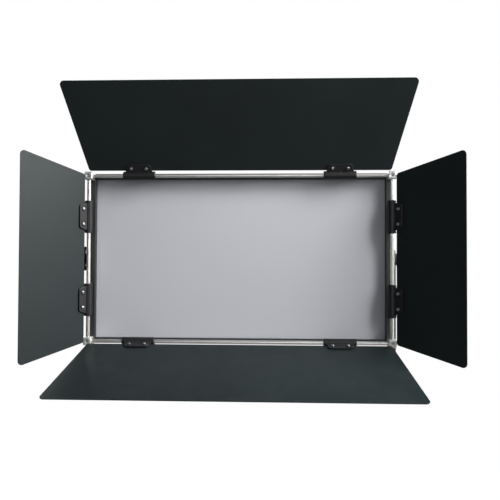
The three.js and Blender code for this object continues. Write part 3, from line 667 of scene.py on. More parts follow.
def turned_about(matrix, degrees):
    """The same place turned about its own Z, so that neighbouring screws don't line up."""
    a = math.radians(degrees)
    spin = np.eye(4)
    spin[:2, :2] = [[math.cos(a), -math.sin(a)], [math.sin(a), math.cos(a)]]
    return matrix @ spin


SCREW_TURNS = (17, 64, 38, 81, 5, 52, 29, 73)  # degrees, taken in turn


def screws(name, places, radius, tall, body, finish="zinc_steel"):
    """Pan heads at each (point, direction), joined in one piece."""
    shells = [
        placed(pan_head(radius, tall), turned_about(facing(direction, at), SCREW_TURNS[i % len(SCREW_TURNS)]))
        for i, (at, direction) in enumerate(places)
    ]
    piece(name, shells, finish, body, smooth_below=50)


# ---------------------------------------------------------------- barn doors

LEAVES = {  # half widths at the rod and at the tip, before the corners are rounded
    "top": {"sharp": (300.5, 344.5), "clips": ("left", "right")},
    "bottom": {"sharp": (300.5, 344.5), "clips": ("right", "left")},
    "left": {"sharp": (168.0, 201.5), "clips": ("lower", "upper")},
    "right": {"sharp": (168.0, 201.5), "clips": ("upper", "lower")},
}
LEAF_ROUND = {"near": 6.0, "far": 8.0, "rim": 0.55}
HINGE_SCREW = {"radius": 2.9, "tall": 1.9, "along": 15.0, "out": 15.5}
CLIP = {"length": 65.0, "radius": 8.5, "bore": 4.35, "width": 46.0, "flare": 5.0, "reach": 24.0, "thick": 3.0,
        "gap": 0.3, "rib": 1.1, "rib_inset": 3.5, "seat": 4.9, "seat_tall": 0.6}


def leaf_sheet(name, place):
    """A flat trapezium with round corners, its rim rounded all the way about."""
    node = f"leaf_{name}"
    low, high = in_place_of(node, place)
    near, far = LEAVES[name]["sharp"]
    corners = [(-near, low[2]), (near, low[2]), (far, high[2]), (-far, high[2])]
    rounds = [LEAF_ROUND["near"]] * 2 + [LEAF_ROUND["far"]] * 2
    shell = slab(fillet(corners, rounds, 10), low[1], high[1], "y", LEAF_ROUND["rim"])
    piece(f"{node}_sheet", placed(shell, place), "leaf_black", f"{name}_leaf", (node,), smooth_below=50)


def hinge_clip(name, which, along, place):
    """A split barrel round the rod and a tapered plate on the leaf, with a rib and two screw seats."""
    node = f"hinge_clip_{name}_{which}"
    low, _ = in_place_of(f"leaf_{name}", place)
    face = low[1] - CLIP["gap"]
    half, radius, bore = CLIP["length"] / 2, CLIP["radius"], CLIP["bore"]
    front = face - CLIP["thick"]
    section = [(-half, bore), (half, bore), (half, radius), (-half, radius)]
    barrel = turned(fillet(section, [0.4, 0.4, 1.6, 1.6], 3, hold=0.5), "x", 48, ring_of_rings=True)
    wide, near, reach = CLIP["width"] / 2, bore + 1.2, CLIP["reach"]
    foot = wide + CLIP["flare"]
    outline = fillet([(-foot, near), (foot, near), (wide, reach), (-wide, reach)], [1, 1, 5, 5], 6)
    shells = [barrel, slab(outline, front, face, "y", 0.9)]
    rib_corners = [(front - 2.6, bore + 0.6), (front + 1, bore + 6.5), (front + 1, bore + 0.6)]
    rib = fillet(rib_corners, [0.8, 0.2, 0.2], 3)
    for x in (CLIP["rib_inset"] - wide, 0.0, wide - CLIP["rib_inset"]):
        shells.append(slab(rib, x - CLIP["rib"], x + CLIP["rib"], "x", 0.3))
    screw_places = [(x, HINGE_SCREW["out"]) for x in (-HINGE_SCREW["along"], HINGE_SCREW["along"])]
    seat, tall = CLIP["seat"], CLIP["seat_tall"]
    seat_profile = profile_of([(front - tall, 0.2), (front - tall, seat), (front + tall, seat + 0.5)], 0.4)
    shells += [turned(seat_profile, "y", 32, centre=place_on_plate) for place_on_plate in screw_places]
    shells = [placed(moved(shell, (along, 0, 0)), place) for shell in shells]
    piece(f"{node}_moulding", shells, "clip_black", f"{name}_leaf", (node,), smooth_below=45)
    return [((place @ [along + x, front - 0.5, out, 1])[:3], -place[:3, 1]) for x, out in screw_places]


def barn_doors():
    for name, leaf in LEAVES.items():
        place = hinge_place(f"{name}_leaf_swing", f"leaf_{name}")
        leaf_sheet(name, place)
        seats = []
        for which in leaf["clips"]:
            node_low, node_high = in_place_of(f"hinge_clip_{name}_{which}", place)
            seats += hinge_clip(name, which, (node_low[0] + node_high[0]) / 2, place)
        screws(f"hinge_screws_{name}", seats, HINGE_SCREW["radius"], HINGE_SCREW["tall"], f"{name}_leaf")


def rod(node, axis):
    """A straight bar with a small chamfer at each end."""
    low, high, middle = box_and_middle(node)
    at = "xyz".index(axis)
    across = (middle[1], middle[2]) if axis == "x" else (middle[0], middle[1])
    corners = [(low[at], 0.2), (low[at], ROD_R), (high[at], ROD_R), (high[at], 0.2)]
    shell = turned(profile_of(corners, 0.6), axis, 48, across)
    piece(f"{node}_bar", shell, "rod_chrome", "head", (node,))


BLOCK = {"front_round": 2.6, "corner": 2.6, "bore_gap": 0.3, "bore_from": 4.6, "sink": 3.6, "seat": 3.3,
         "head_share": 0.74, "head_tall": 1.9, "shank": 2.0}


def corner_block(level, side):
    """A die-cast corner: a rounded cushion bored for two rods and sunk for its screw."""
    corner = f"{level}_{side}"
    node = f"corner_block_{corner}"
    low, high, middle = box_and_middle(node)
    size = high[0] - low[0]
    inwards = -np.sign(middle - HEAD_AT)
    centre = size * 0.5 - 0.4
    section = fillet([(centre, low[1]), (0, low[1]), (0, high[1]), (centre, high[1])],
                     [0, BLOCK["front_round"], 0.7, 0], 6, hold=0.2, closed=False)
    cushion = tray(section, size, size, BLOCK["corner"], (middle[0], middle[2]))
    screw_low, screw_high = box_mm(f"corner_screw_{corner}")
    head_r = (screw_high[0] - screw_low[0]) / 2
    bore = ROD_R + BLOCK["bore_gap"]
    rods_y = HEAD_AT[1]
    reach, rise = (
        sorted([middle[i] + inwards[i] * BLOCK["bore_from"], middle[i] + inwards[i] * size]) for i in (0, 2)
    )
    sink = [(low[1] - 2, head_r + 0.5), (low[1] + BLOCK["sink"], head_r + 0.3)]
    cutters = [
        turned([(place, bore) for place in reach], "x", 32, (rods_y, middle[2])),
        turned([(place, bore) for place in rise], "z", 32, (middle[0], rods_y)),
        turned(sink, "y", 32, middle[[0, 2]]),
    ]
    piece(f"{node}_casting", carved([cushion], cutters), "block_silver", "head", (node,), bevel=0.25)
    seat_y = low[1] + BLOCK["seat"]
    seat = facing((0, -1, 0), (middle[0], seat_y, middle[2]))
    head = placed(pan_head(head_r * BLOCK["head_share"], BLOCK["head_tall"]), turned_about(seat, 30))
    thick, tip = BLOCK["shank"], screw_high[1]
    shank = turned([(seat_y - 0.1, thick), (tip - 1.0, thick), (tip, 1.2)], "y", 20, middle[[0, 2]])
    screw = f"corner_screw_{corner}"
    piece(f"{screw}_fine", [head, shank], "zinc_steel", "head", (screw,), smooth_below=50)


def rod_frame():
    for node, axis in (("rod_top", "x"), ("rod_bottom", "x"), ("rod_left", "z"), ("rod_right", "z")):
        rod(node, axis)
    for level in ("upper", "lower"):
        for side in ("left", "right"):
            corner_block(level, side)


# ---------------------------------------------------------------- light box

BEZEL = {"opening": 15.0, "squeeze": 0.7, "seat": 22.0, "seat_inset": 7.0, "corner": 6.0, "lip": 7.0}


def front_bezel():
    """A ring whose front rolls from the outer edge into the opening, with a seat behind for the diffuser."""
    low, high = head_box("front_bezel")
    opening, seat = BEZEL["opening"], BEZEL["seat"]
    section = fillet(
        [(0, high[1]), (0, low[1]), (opening, low[1]), (opening, seat), (BEZEL["seat_inset"], seat),
         (BEZEL["seat_inset"], high[1])],
        [0.6, BEZEL["lip"], 2.2, 0.3, 0.3, 0.3], 8, hold=0.4)
    width, height = high[0] - low[0], high[2] - low[2]
    shell = tray(section, width, height, BEZEL["corner"], squeeze=BEZEL["squeeze"], ring_of_rings=True)
    piece("front_bezel_frame", on_head([shell]), "bezel_black", "head", ("front_bezel",))


def diffuser():
    """An opal sheet with softened edges."""
    low, high = head_box("diffuser")
    shell = slab(rounded_rect(high[0] - low[0], high[2] - low[2], 2.0), low[1], high[1], "y", 0.5)
    piece("diffuser_sheet", on_head([shell]), "diffuser_opal", "head", ("diffuser",))


SHELL = {"corner": 6.0, "wall": 2.0, "back_round": 4.0, "flange": 30.0, "screw_radius": 3.2,
         "screw_tall": 1.6, "screw_back": 12.0, "screw_inset": 40.0, "screws_along": 6,
         "side_screws": (-120.0, 120.0)}


def housing():
    """A pressed tray: round at the back, open at the front, held to the front frame by small screws."""
    low, high = head_box("housing_shell")
    wall, flange = SHELL["wall"], SHELL["flange"]
    inside = high[1] - wall
    width, height = high[0] - low[0], high[2] - low[2]
    section = fillet(
        [(flange, inside), (wall, inside), (wall, low[1]), (0, low[1]), (0, high[1]), (flange, high[1])],
        [0, 2.0, 0.5, 0.5, SHELL["back_round"], 0], 6, hold=0.6, closed=False)
    shell = tray(section, width, height, SHELL["corner"])
    tray_shell = carved(on_head([shell]), [tilt_bore()])
    piece("housing_shell_tray", tray_shell, "housing_black", "head", ("housing_shell",))
    at_y = low[1] + SHELL["screw_back"]
    seats = []
    for x in np.linspace(-1, 1, SHELL["screws_along"]) * (width / 2 - SHELL["screw_inset"]):
        seats += [((x, at_y, high[2]), (0, 0, 1)), ((x, at_y, low[2]), (0, 0, -1))]
    for z in SHELL["side_screws"]:
        seats += [((high[0], at_y, z), (1, 0, 0)), ((low[0], at_y, z), (-1, 0, 0))]
    seats = [(np.add(at, HEAD_AT), way) for at, way in seats]
    screws("housing_screws", seats, SHELL["screw_radius"], SHELL["screw_tall"], "head", "zinc_steel")


SINK = {"base": 3.0, "fins": 16, "fin_thick": 2.0}


def heat_sink(side):
    """An extruded comb: thin upright fins, each tapering a little to a rounded tip, on a flat base."""
    node = f"heat_sink_{side}"
    low, high = box_mm(node)
    root = low[1] + SINK["base"]
    pitch = (high[0] - low[0] - SINK["fin_thick"]) / (SINK["fins"] - 1)
    outline = [(high[0], low[1]), (high[0], high[1])]
    for fin in range(SINK["fins"]):
        right = high[0] - fin * pitch
        left = right - SINK["fin_thick"]
        if fin:
            outline += [(right + 0.3, root), (right - 0.2, high[1])]
        outline.append((left + 0.2 if fin < SINK["fins"] - 1 else left, high[1]))
        if fin < SINK["fins"] - 1:
            outline.append((left - 0.3, root))
    outline.append((low[0], low[1]))
    comb = slab(fillet(np.array(outline)[::-1], 0.45, 2), low[2], high[2], "z", 0.3, 2)
    piece(f"{node}_comb", comb, "housing_black", "head", (node,))


def light_box():
    front_bezel()
    diffuser()
    housing()
    heat_sink("left")
    heat_sink("right")


# ---------------------------------------------------------------- control pod

POD = {"corner": 10.0, "wall": 2.5, "root_round": 1.2, "flange": 40.0}
SWITCH_COLLAR = (19.4, 26.4)
INLET_HOLE = (29.0, 21.0)
PANEL_STEP = 0.4  # the display and the switch collar stand this far out of the panel
PANEL_SCREW = {"radius": 3.4, "tall": 1.8, "inset": 9.0}
BUTTONS = ("menu", "back", "mode", "lock")


def panel_face():
    """The Y of the panel's outer face."""
    return box_mm("display_window")[1][1] - PANEL_STEP


def panel_cutters(low, high):
    """Openings for the display, knob shafts, buttons, sockets and switch, each taken from what it holds."""
    front, back = low[1] - 3, high[1] + 3
    cutters = []

    def bore(node, radius, steps):
        _, _, middle = box_and_middle(node)
        cutters.append(turned([(front, radius), (back, radius)], "y", steps, middle[[0, 2]]))

    def window(node, size, corner):
        _, _, middle = box_and_middle(node)
        outline = rounded_rect(*size, corner, 4, middle[[0, 2]])
        cutters.append(slab(outline, front, back, "y", 0.01))

    for node in ("dimmer_knob", "colour_knob"):
        bore(node, 4.0, 24)
    for name in BUTTONS:
        key_low, key_high = box_mm(f"{name}_button")
        bore(f"{name}_button", (key_high[0] - key_low[0]) / 2 + 0.3, 32)
    for node in ("dmx_in", "dmx_out"):
        bore(node, 12.2, 48)
    for node, corner in (("display_window", 2.3), ("power_switch", 0.6)):
        node_low, node_high = box_mm(node)
        window(node, (node_high - node_low)[[0, 2]] + 0.6, corner)
    window("power_inlet", INLET_HOLE, 2.0)
    return cutters


def control_pod():
    """A deep tray on the housing's back, closed by the panel, with a screw near each corner."""
    low, high = head_box("control_pod")
    wall, flange = POD["wall"], POD["flange"]
    floor = low[1] + wall
    section = fillet(
        [(flange, low[1]), (0, low[1]), (0, high[1]), (wall, high[1]), (wall, floor), (flange, floor)],
        [0, POD["root_round"], 0.5, 0.5, 1.0, 0], 5, hold=0.5, closed=False)
    piece("control_pod_tray", on_head([tray(section, high[0] - low[0], high[2] - low[2], POD["corner"])]),
          "housing_black", "head", ("control_pod",))
    low, high, middle = box_and_middle("pod_panel")
    plate_back = panel_face()
    outline = rounded_rect(high[0] - low[0], high[2] - low[2], POD["corner"], 8, middle[[0, 2]])
    plate = slab(outline, low[1], plate_back, "y", 0.8)
    _, _, switch_at = box_and_middle("power_switch")
    collar = slab(rounded_rect(*SWITCH_COLLAR, 3.0, 6, switch_at[[0, 2]]), low[1] + 1, high[1], "y", 0.6)
    shell = carved([plate, collar], panel_cutters(low, high))
    piece("pod_panel_plate", shell, "bezel_black", "head", ("pod_panel",), bevel=0.3)
    inset = PANEL_SCREW["inset"]
    seats = [((x, plate_back, z), (0, 1, 0)) for x in (low[0] + inset, high[0] - inset)
             for z in (low[2] + inset, middle[2], high[2] - inset)]
    screws("panel_screws", seats, PANEL_SCREW["radius"], PANEL_SCREW["tall"], "head", "zinc_steel")


KNOB = {"flutes": 18, "flute_deep": 0.42, "shaft": 3.0, "dish": 0.7}


def control_knob(node, body):
    """A fluted knob: the radius dips by a cosine round the grip, fading out at the skirt and the top."""
    low, high, middle = box_and_middle(node)
    radius = (high[0] - low[0]) / 2
    foot, top = high[1] - 16.0, high[1]
    profile = fillet(
        [(foot, 0.3), (foot, radius), (foot + 2.2, radius), (foot + 3.0, radius - 0.9), (top, radius - 1.6),
         (top, radius - 4.2), (top - KNOB["dish"], radius - 5.4), (top - KNOB["dish"], 0.3)],
        [0, 0.4, 0.5, 0.5, 1.4, 0.5, 0.6, 0], 4, hold=0.2, closed=False)

    def flutes(angles, place):
        fade = np.clip((place - foot - 2.8) / 1.5, 0, 1) * np.clip((top - 0.5 - place) / 1.2, 0, 1)
        return -KNOB["flute_deep"] * fade * (1 - np.cos(KNOB["flutes"] * angles))

    grip = turned(profile, "y", KNOB["flutes"] * 8, (middle[0], middle[2]), swell=flutes)
    shaft = turned([(low[1], KNOB["shaft"]), (foot + 1, KNOB["shaft"])], "y", 24, (middle[0], middle[2]))
    piece(f"{node}_grip", [grip, shaft], "knob_plastic", body, (node,))
    outline = rounded_rect(1.5, 6.4, 0.7, 4, (middle[0], middle[2] + radius - 6.6))
    line = slab(outline, top - 0.9, top - 0.02, "y", 0.1)
    piece(f"{node}_pointer", line, PRINTED, body)


def dial_marks(node, name):
    """Short radial ticks round a knob, from seven o'clock to five o'clock."""
    low, high, middle = box_and_middle(node)
    plate_back = panel_face()
    shells = []
    for k, degrees in enumerate(np.linspace(-135, 135, 11)):
        long = 3.4 if k % 5 == 0 else 2.2
        tick = slab(rounded_rect(0.7, long, 0.3, 2, (0, 18.2 + long / 2)), 0, 0.12, "y", 0.03, 1)
        a = math.radians(degrees)
        turn = np.eye(4)
        turn[:3, :3] = [[math.cos(a), 0, math.sin(a)], [0, 1, 0], [-math.sin(a), 0, math.cos(a)]]
        turn[:3, 3] = [middle[0], plate_back - 0.02, middle[2]]
        shells.append(placed(tick, turn))
    piece(name, shells, PRINTED, "head")


def push_button(name):
    """A soft key with a crowned top."""
    node = f"{name}_button"
    low, high, middle = box_and_middle(node)
    radius = (high[0] - low[0]) / 2
    crown = np.linspace(0.98, 0.05, 7)
    top = np.column_stack([high[1] - 0.7 * crown**2, (radius - 0.4) * crown])
    corners = [(low[1], 0.2), (low[1], radius), (high[1] - 1.1, radius), (high[1] - 0.72, radius - 0.5)]
    body = profile_of(corners, 0.35)
    shell = turned(np.vstack([body[:-1], top]), "y", 40, middle[[0, 2]])
    piece(f"{node}_key", shell, "button_rubber", f"{name}_key", (node,), smooth_below=50)


def display():
    """A dark window set just proud of the panel."""
    low, high, middle = box_and_middle("display_window")
    outline = rounded_rect(high[0] - low[0], high[2] - low[2], 2.0, 6, middle[[0, 2]])
    shell = slab(outline, low[1], high[1], "y", 0.35)
    piece("display_window_glass", shell, "window", "head", ("display_window",))


def power_inlet():
    """A mains inlet: a flange with a sunk mouth, three flat blades and two screws."""
    low, high, middle = box_and_middle("power_inlet")
    face = high[1]
    at = (middle[0], middle[2])
    flange = slab(rounded_rect(high[0] - low[0], high[2] - low[2], 5.0, 6, at), face - 2, face, "y", 0.6)
    body = slab(rounded_rect(28.0, 20.0, 1.5, 4, at), low[1], face - 1, "y", 0.4)
    mouth = fillet([(-12.2, -8.2), (12.2, -8.2), (12.2, 4.2), (8.6, 8.2), (-8.6, 8.2), (-12.2, 4.2)], 1.6, 4)
    shell = carved([flange, body], [slab(mouth + at, face - 17, face + 3, "y", 0.05)])
    piece("power_inlet_socket", shell, "socket_black", "head", ("power_inlet",), bevel=0.3)
    blades = [slab(rounded_rect(2.0, 4.0, 0.3, 3, (at[0] + x, at[1] + z)), face - 17.5, face - 4, "y", 0.25)
              for x, z in ((-7.0, -1.6), (0.0, 2.4), (7.0, -1.6))]
    piece("power_inlet_blades", blades, "socket_metal", "head")
    seats = [((at[0] + x, face, at[1]), (0, 1, 0)) for x in (-20.0, 20.0)]
    screws("power_inlet_screws", seats, 2.9, 1.5, "head")


def pin_circle(radius, count=5, step=60.0):
    """Places of a data connector's pins round its axis, with the gap at the top."""
    angles = np.radians(90 + (np.arange(count) - (count - 1) / 2) * step)
    return np.column_stack([radius * np.cos(angles), -radius * np.sin(angles)])


def data_socket(node):
    """A round data socket on a square flange: pins in an open mouth for input, a face of holes for output."""
    low, high, middle = box_and_middle(node)
    face = high[1]
    at = np.array([middle[0], middle[2]])
    flange = slab(rounded_rect(high[0] - low[0], high[2] - low[2], 3.0, 6, at), face - 2, face, "y", 0.6)
    barrel = turned([(low[1], 11.8), (face - 1, 11.8)], "y", 48, at)
    if node == "dmx_in":
        cutters = [turned([(face - 14, 9.3), (face - 0.8, 9.3), (face + 0.4, 10.3)], "y", 48, at)]
    else:
        groove = fillet([(face - 1.2, 8.3), (face + 1, 8.3), (face + 1, 9.3), (face - 1.2, 9.3)], 0.05, 1)
        cutters = [turned(groove, "y", 48, at, ring_of_rings=True)]
        cutters += [turned([(face - 14, 1.4), (face + 1, 1.4)], "y", 16, at + pin) for pin in pin_circle(5.5)]
    piece(f"{node}_socket", carved([flange, barrel], cutters), "socket_metal", "head", (node,), bevel=0.3)
    if node == "dmx_in":
        root, tip = face - 14.5, face - 3
        pin_profile = profile_of([(root, 0.2), (root, 1.0), (tip, 1.0), (tip, 0.2)], 0.5)
        pins = [turned(pin_profile, "y", 16, at + pin) for pin in pin_circle(5.5)]
        back, front = face - 14.2, face - 12.8
        floor = turned([(back, 0.2), (back, 9.2), (front, 9.2), (front, 0.2)], "y", 48, at)
        piece("dmx_in_insulator", floor, "socket_black", "head")
        piece("dmx_in_pins", pins, "zinc_steel", "head")
    seats = [((at[0] + x, face, at[1] + z), (0, 1, 0)) for x, z in ((-9.6, 12.2), (9.6, -12.2))]
    screws(f"{node}_screws", seats, 2.3, 1.2, "head")


def refined(node, finish, body, bevel, name):
    """A merged copy of a node, with its edges rounded."""
    points = vertices_mm(node)
    mesh = frame["nodes"][node].data
    keys, index = np.unique(np.round(points, 3), axis=0, return_inverse=True)
    index = index.reshape(-1)
    faces = [[int(index[v]) for v in polygon.vertices] for polygon in mesh.polygons]
    piece(name, (keys, faces), finish, body, (node,), bevel=bevel)


def safety_eye():
    """A bow of round bar on a small plate."""
    low, high, middle = box_and_middle("safety_eye")
    wire_r, bow_r, plate = 3.0, 12.0, 3.0
    tops = high[1] - wire_r - bow_r
    turn = np.linspace(0, math.pi, 25)
    arc = np.column_stack([bow_r * np.cos(turn), tops + bow_r * np.sin(turn), 0 * turn])
    path = np.vstack([[bow_r, low[1] + 1, 0], arc, [-bow_r, low[1] + 1, 0]]) + [middle[0], 0, middle[2]]
    bow = carried(path, np.repeat(circle(wire_r, 20)[None], len(path), axis=0), (0, 0, 1))
    outline = rounded_rect(high[0] - low[0], high[2] - low[2], 4.0, 6, middle[[0, 2]])
    foot = slab(outline, low[1], low[1] + plate, "y", 0.6)
    piece("safety_eye_bow", [bow, foot], "zinc_steel", "head", ("safety_eye",))
    seats = [((middle[0] + x, low[1] + plate, middle[2]), (0, 1, 0)) for x in (-18.5, 18.5)]
    screws("safety_eye_screws", seats, 2.6, 1.3, "head")


def control_panel():
    control_pod()
    display()
    for node, body in (("dimmer_knob", "dimmer"), ("colour_knob", "colour")):
        control_knob(node, body)
        dial_marks(node, f"{node}_marks")
    for name in BUTTONS:
        push_button(name)
    power_inlet()
    data_socket("dmx_in")
    data_socket("dmx_out")
    refined("power_switch", "switch_red", "rocker", 0.5, "power_switch_rocker")
    safety_eye()


# ---------------------------------------------------------------- tilt clamps

STAR = {"radius": 22.6, "lobe": 3.2, "lobes": 7, "hub": 12.0}


def tilt_knob(side):
    """A star knob: seven cosine lobes, softened front and back, on a plain hub, with a domed cap."""
    node = f"tilt_knob_{side}"
    low, high, middle = box_and_middle(node)
    sign = 1 if side == "right" else -1
    foot, tip = (low[0], high[0]) if sign > 0 else (-high[0], -low[0])
    star_from, star_to = foot + 6.0, tip - 2.0
    grip = STAR["radius"]
    profile = fillet(
        [(foot, 0.3), (foot, STAR["hub"]), (star_from, STAR["hub"]), (star_from, grip), (star_to, grip),
         (star_to, 15.2), (tip, 14.2), (tip - 0.6, 10.0), (tip - 0.6, 0.3)],
        [0, 0.8, 2.0, 3.2, 3.8, 1.4, 0.8, 1.0, 0], 6, hold=0.25, closed=False)

    def lobes(angles, place):
        radius = np.interp(place[:, 0], profile[:, 0], profile[:, 1])[:, None]
        share = np.clip((profile[:, 1:] - STAR["hub"] - 3) / (grip - STAR["hub"] - 3), 0, 1) ** 1.5
        return share * STAR["lobe"] * np.cos(STAR["lobes"] * angles) + 0 * radius

    shell = turned(profile, "x", STAR["lobes"] * 20, (middle[1], middle[2]), swell=lobes)
    if sign < 0:
        shell = mirrored(shell)
    piece(f"{node}_star", shell, "knob_plastic", f"{side}_tilt_knob", (node,))


def clamp_ring(node, inner, finish, body, edge):
    """A flat ring about the tilt axis."""
    low, high, middle = box_and_middle(node)
    outer = (high[1] - low[1]) / 2
    corners = [(low[0], inner), (high[0], inner), (high[0], outer), (low[0], outer)]
    section = fillet(corners, edge, 3, hold=0.4)
    shell = turned(section, "x", 64, (middle[1], middle[2]), ring_of_rings=True)
    piece(f"{node}_ring", shell, finish, body, (node,))


def tilt_clamps():
    for side in ("left", "right"):
        tilt_knob(side)
        clamp_ring(f"side_boss_{side}", 5.4, "zinc_steel", "head", 0.8)
        clamp_ring(f"friction_washer_{side}", 5.4, "washer", "head", 0.5)


# ---------------------------------------------------------------- yoke and stand socket

YOKE = {"wide": 30.0, "thick": 5.0, "bend": 22.5, "eye": 20.0, "rim": 0.9, "holes": (-60.0, 0.0, 60.0),
        "hole": 5.4}


def yoke_strap():
    """A flat bar carried round a U; its width swells to a round eye at each end, and the bar is drilled."""
    low, high = box_mm("yoke_bracket")
    tilt_z = JOINTS["head_tilt"]["pos_m"][2] / MM
    side, bar = high[0] - YOKE["thick"] / 2, low[2] + YOKE["thick"] / 2
    eye, half = YOKE["eye"], YOKE["wide"] / 2
    rise = tilt_z + eye * np.sin(np.linspace(-math.pi / 2, math.pi / 2, 33))
    rise[-1] = tilt_z + eye * 0.999
    corners = [(side, tilt_z - eye - 60), (side, bar), (0, bar)]
    bend = fillet(corners, [0, YOKE["bend"], 0], 16, hold=4, closed=False)
    right = np.vstack([np.column_stack([np.full(33, side), rise])[::-1], bend[:-1]])
    flat = np.column_stack([np.linspace(side - YOKE["bend"] - 30, 0, 12), np.full(12, bar)])
    half_path = np.vstack([right, flat])
    path = np.vstack([half_path, (half_path * [-1, 1])[::-1][1:]])
    above = path[:, 1] - tilt_z
    chord = np.sqrt(np.clip(eye**2 - above**2, 0.6, None))
    widths = np.where(above > 0, chord, np.where(above > -eye, np.maximum(chord, half), half))
    sections = np.array([rounded_rect(2 * w, YOKE["thick"], YOKE["rim"], 4) for w in widths])
    path = np.column_stack([path[:, 0], np.zeros(len(path)), path[:, 1]])
    strap = carried(path, sections, (0, 1, 0))
    drill = [(low[2] - 3, YOKE["hole"]), (low[2] + 9, YOKE["hole"])]
    drills = [turned(drill, "z", 32, (x, 0)) for x in YOKE["holes"]]
    shell = carved([strap], drills + [tilt_bore()])
    piece("yoke_bracket_strap", shell, "yoke_black", "yoke", ("yoke_bracket",))


def stand_receiver():
    """A turned spigot socket with a waist and a cross hole for its screw."""
    low, high = box_mm("stand_receiver")
    radius = (high[0] - low[0]) / 2
    knob_low, knob_high = box_mm("receiver_knob")
    screw_z = (knob_low[2] + knob_high[2]) / 2
    top = high[2]
    bore, waist = 8.15, radius - 1.2
    corners = [(low[2], bore), (low[2], radius), (34.0, radius), (36.0, waist), (52.0, waist), (54.0, radius),
               (top, radius), (top, 2.0), (44.0, 2.0), (44.0, bore)]
    section = fillet(corners, [0.8, 1.5, 0.8, 0.8, 0.8, 0.8, 1.0, 0.3, 0.3, 0.6], 4, hold=0.4)
    socket = turned(section, "z", 72, ring_of_rings=True)
    cross = turned([(5.0, 4.3), (radius + 2, 4.3)], "y", 32, (0, screw_z))
    piece("stand_receiver_socket", carved([socket], [cross]), "zinc_steel", "yoke", ("stand_receiver",))


def receiver_bolt():
    """A hexagon head, its corners turned down, on a plain washer."""
    low, high = box_mm("receiver_bolt")
    bar_top = box_mm("yoke_bracket")[0][2] + YOKE["thick"]
    head = slab(circle(9.6, 6), bar_top + 1.6, high[2], "z", 0.9, 3)
    under, over = bar_top + 0.1, bar_top + 1.7
    corners = [(under, 5.2), (over, 5.2), (over, 9.9), (under, 9.9)]
    ring = turned(fillet(corners, 0.3, 2), "z", 48, ring_of_rings=True)
    shank = turned([(low[2], 4.9), (bar_top + 2.0, 4.9)], "z", 24)
    piece("receiver_bolt_hex", [head, ring, shank], "zinc_steel", "yoke", ("receiver_bolt",))


def receiver_knob():
    """A wing screw: two rounded wings that thin towards their tips, on a turned hub."""
    low, high, middle = box_and_middle("receiver_knob")
    at = (middle[0], middle[2])
    along = np.linspace(0, FULL_TURN, 96, endpoint=False)
    reach = (high[0] - low[0]) / 2
    outline = np.column_stack([reach * np.cos(along), 0 * along])
    outline[:, 1] = np.sin(along) * (4.6 + 2.6 * np.cos(along) ** 2)
    wing = slab(outline + at, high[1] - 12, high[1] - 1.0, "y", 2.4, 5)
    foot, top = high[1] - 19, high[1]
    corners = [(foot, 0.3), (foot, 7.4), (top - 15, 9.0), (top, 9.0), (top, 0.3)]
    hub = turned(profile_of(corners, [0, 0.8, 1.0, 1.4, 0]), "y", 48, at)
    screw = turned([(low[1], 0.3), (low[1], 3.4), (low[1] + 0.8, 4.0), (high[1] - 18, 4.0)], "y", 32, at)
    piece("receiver_knob_wings", [wing, hub, screw], "knob_plastic", "socket_knob", ("receiver_knob",))


def yoke():
    yoke_strap()
    stand_receiver()
    receiver_bolt()
    receiver_knob()


# ---------------------------------------------------------------- inner pieces and plain nodes

NODE_FINISHES = {
    "light_box": "reflector_white",
    "led_board": "led_board",
    "heat_spreader": "bare_aluminium",
    "power_supply": "bare_aluminium",
    "control_board": "circuit_board",
    "tilt_bolt_left": "zinc_steel",
    "tilt_bolt_right": "zinc_steel",
}


def finish_plain_nodes():
    for node, finish in NODE_FINISHES.items():
        mesh = frame["nodes"][node].data
        mesh.materials.clear()
        mesh.materials.append(FINISHES[finish])


# ---------------------------------------------------------------- stage, light and camera

FLOOR_Z = -0.62
WHITE = (1.0, 1.0, 1.0, 1.0)


CAMERA = {"at": (0.089, -1.458, 0.272), "turn": -2.75, "roll": 0.15, "tip": -1.46, "lens": 50.4,
          "sensor": 36.0}


def camera():
    """Stands in front, a little to the right, and looks very slightly down to the left."""
    turn = Matrix.Rotation(math.radians(CAMERA["turn"]), 3, "Z")
    roll = Matrix.Rotation(math.radians(CAMERA["roll"]), 3, "Y")
    tip = Matrix.Rotation(math.radians(CAMERA["tip"]), 3, "X")
    right, ahead, up = turn @ roll @ tip
    data = bpy.data.cameras.new("camera")
    data.lens = CAMERA["lens"]
    data.sensor_width = CAMERA["sensor"]
    obj = bpy.data.objects.new("camera", data)
    bpy.context.scene.collection.objects.link(obj)
    rows = [(right[i], up[i], -ahead[i], place) for i, place in enumerate(CAMERA["at"])]
    obj.matrix_world = Matrix(rows + [(0, 0, 0, 1)])
    bpy.context.scene.camera = obj


def softbox(name, at, aim, size, power, colour=(1.0, 1.0, 1.0), sheen_only=False):
    data = bpy.data.lights.new(name, "AREA")
    data.shape = "RECTANGLE"
    data.size, data.size_y = size
    data.energy = power
    data.color = colour
    obj = bpy.data.objects.new(name, data)
    bpy.context.scene.collection.objects.link(obj)
    obj.visible_diffuse = not sheen_only
    obj.location = at
    obj.rotation_euler = (Vector(aim) - Vector(at)).to_track_quat("-Z", "Y").to_euler()


def plain_colours():
    """Colours leave the scene as they are lit, with no film curve over them."""
    bpy.context.scene.view_settings.view_transform = "Standard"


def seen_or_lit(tree, seen, lit):
    """One shader where the eye meets it, and another for the light it sends to the object."""
    ray = tree.nodes.new("ShaderNodeLightPath")
    mix = tree.nodes.new("ShaderNodeMixShader")
    wire(tree, ray.outputs["Is Camera Ray"], mix.inputs[0])
    wire(tree, lit, mix.inputs[1])
    wire(tree, seen, mix.inputs[2])
    return mix.outputs[0]


def emitter(tree, kind, colour, strength):
    node = tree.nodes.new(kind)
    node.inputs["Color"].default_value = colour
    node.inputs["Strength"].default_value = strength
    return node.outputs[0]


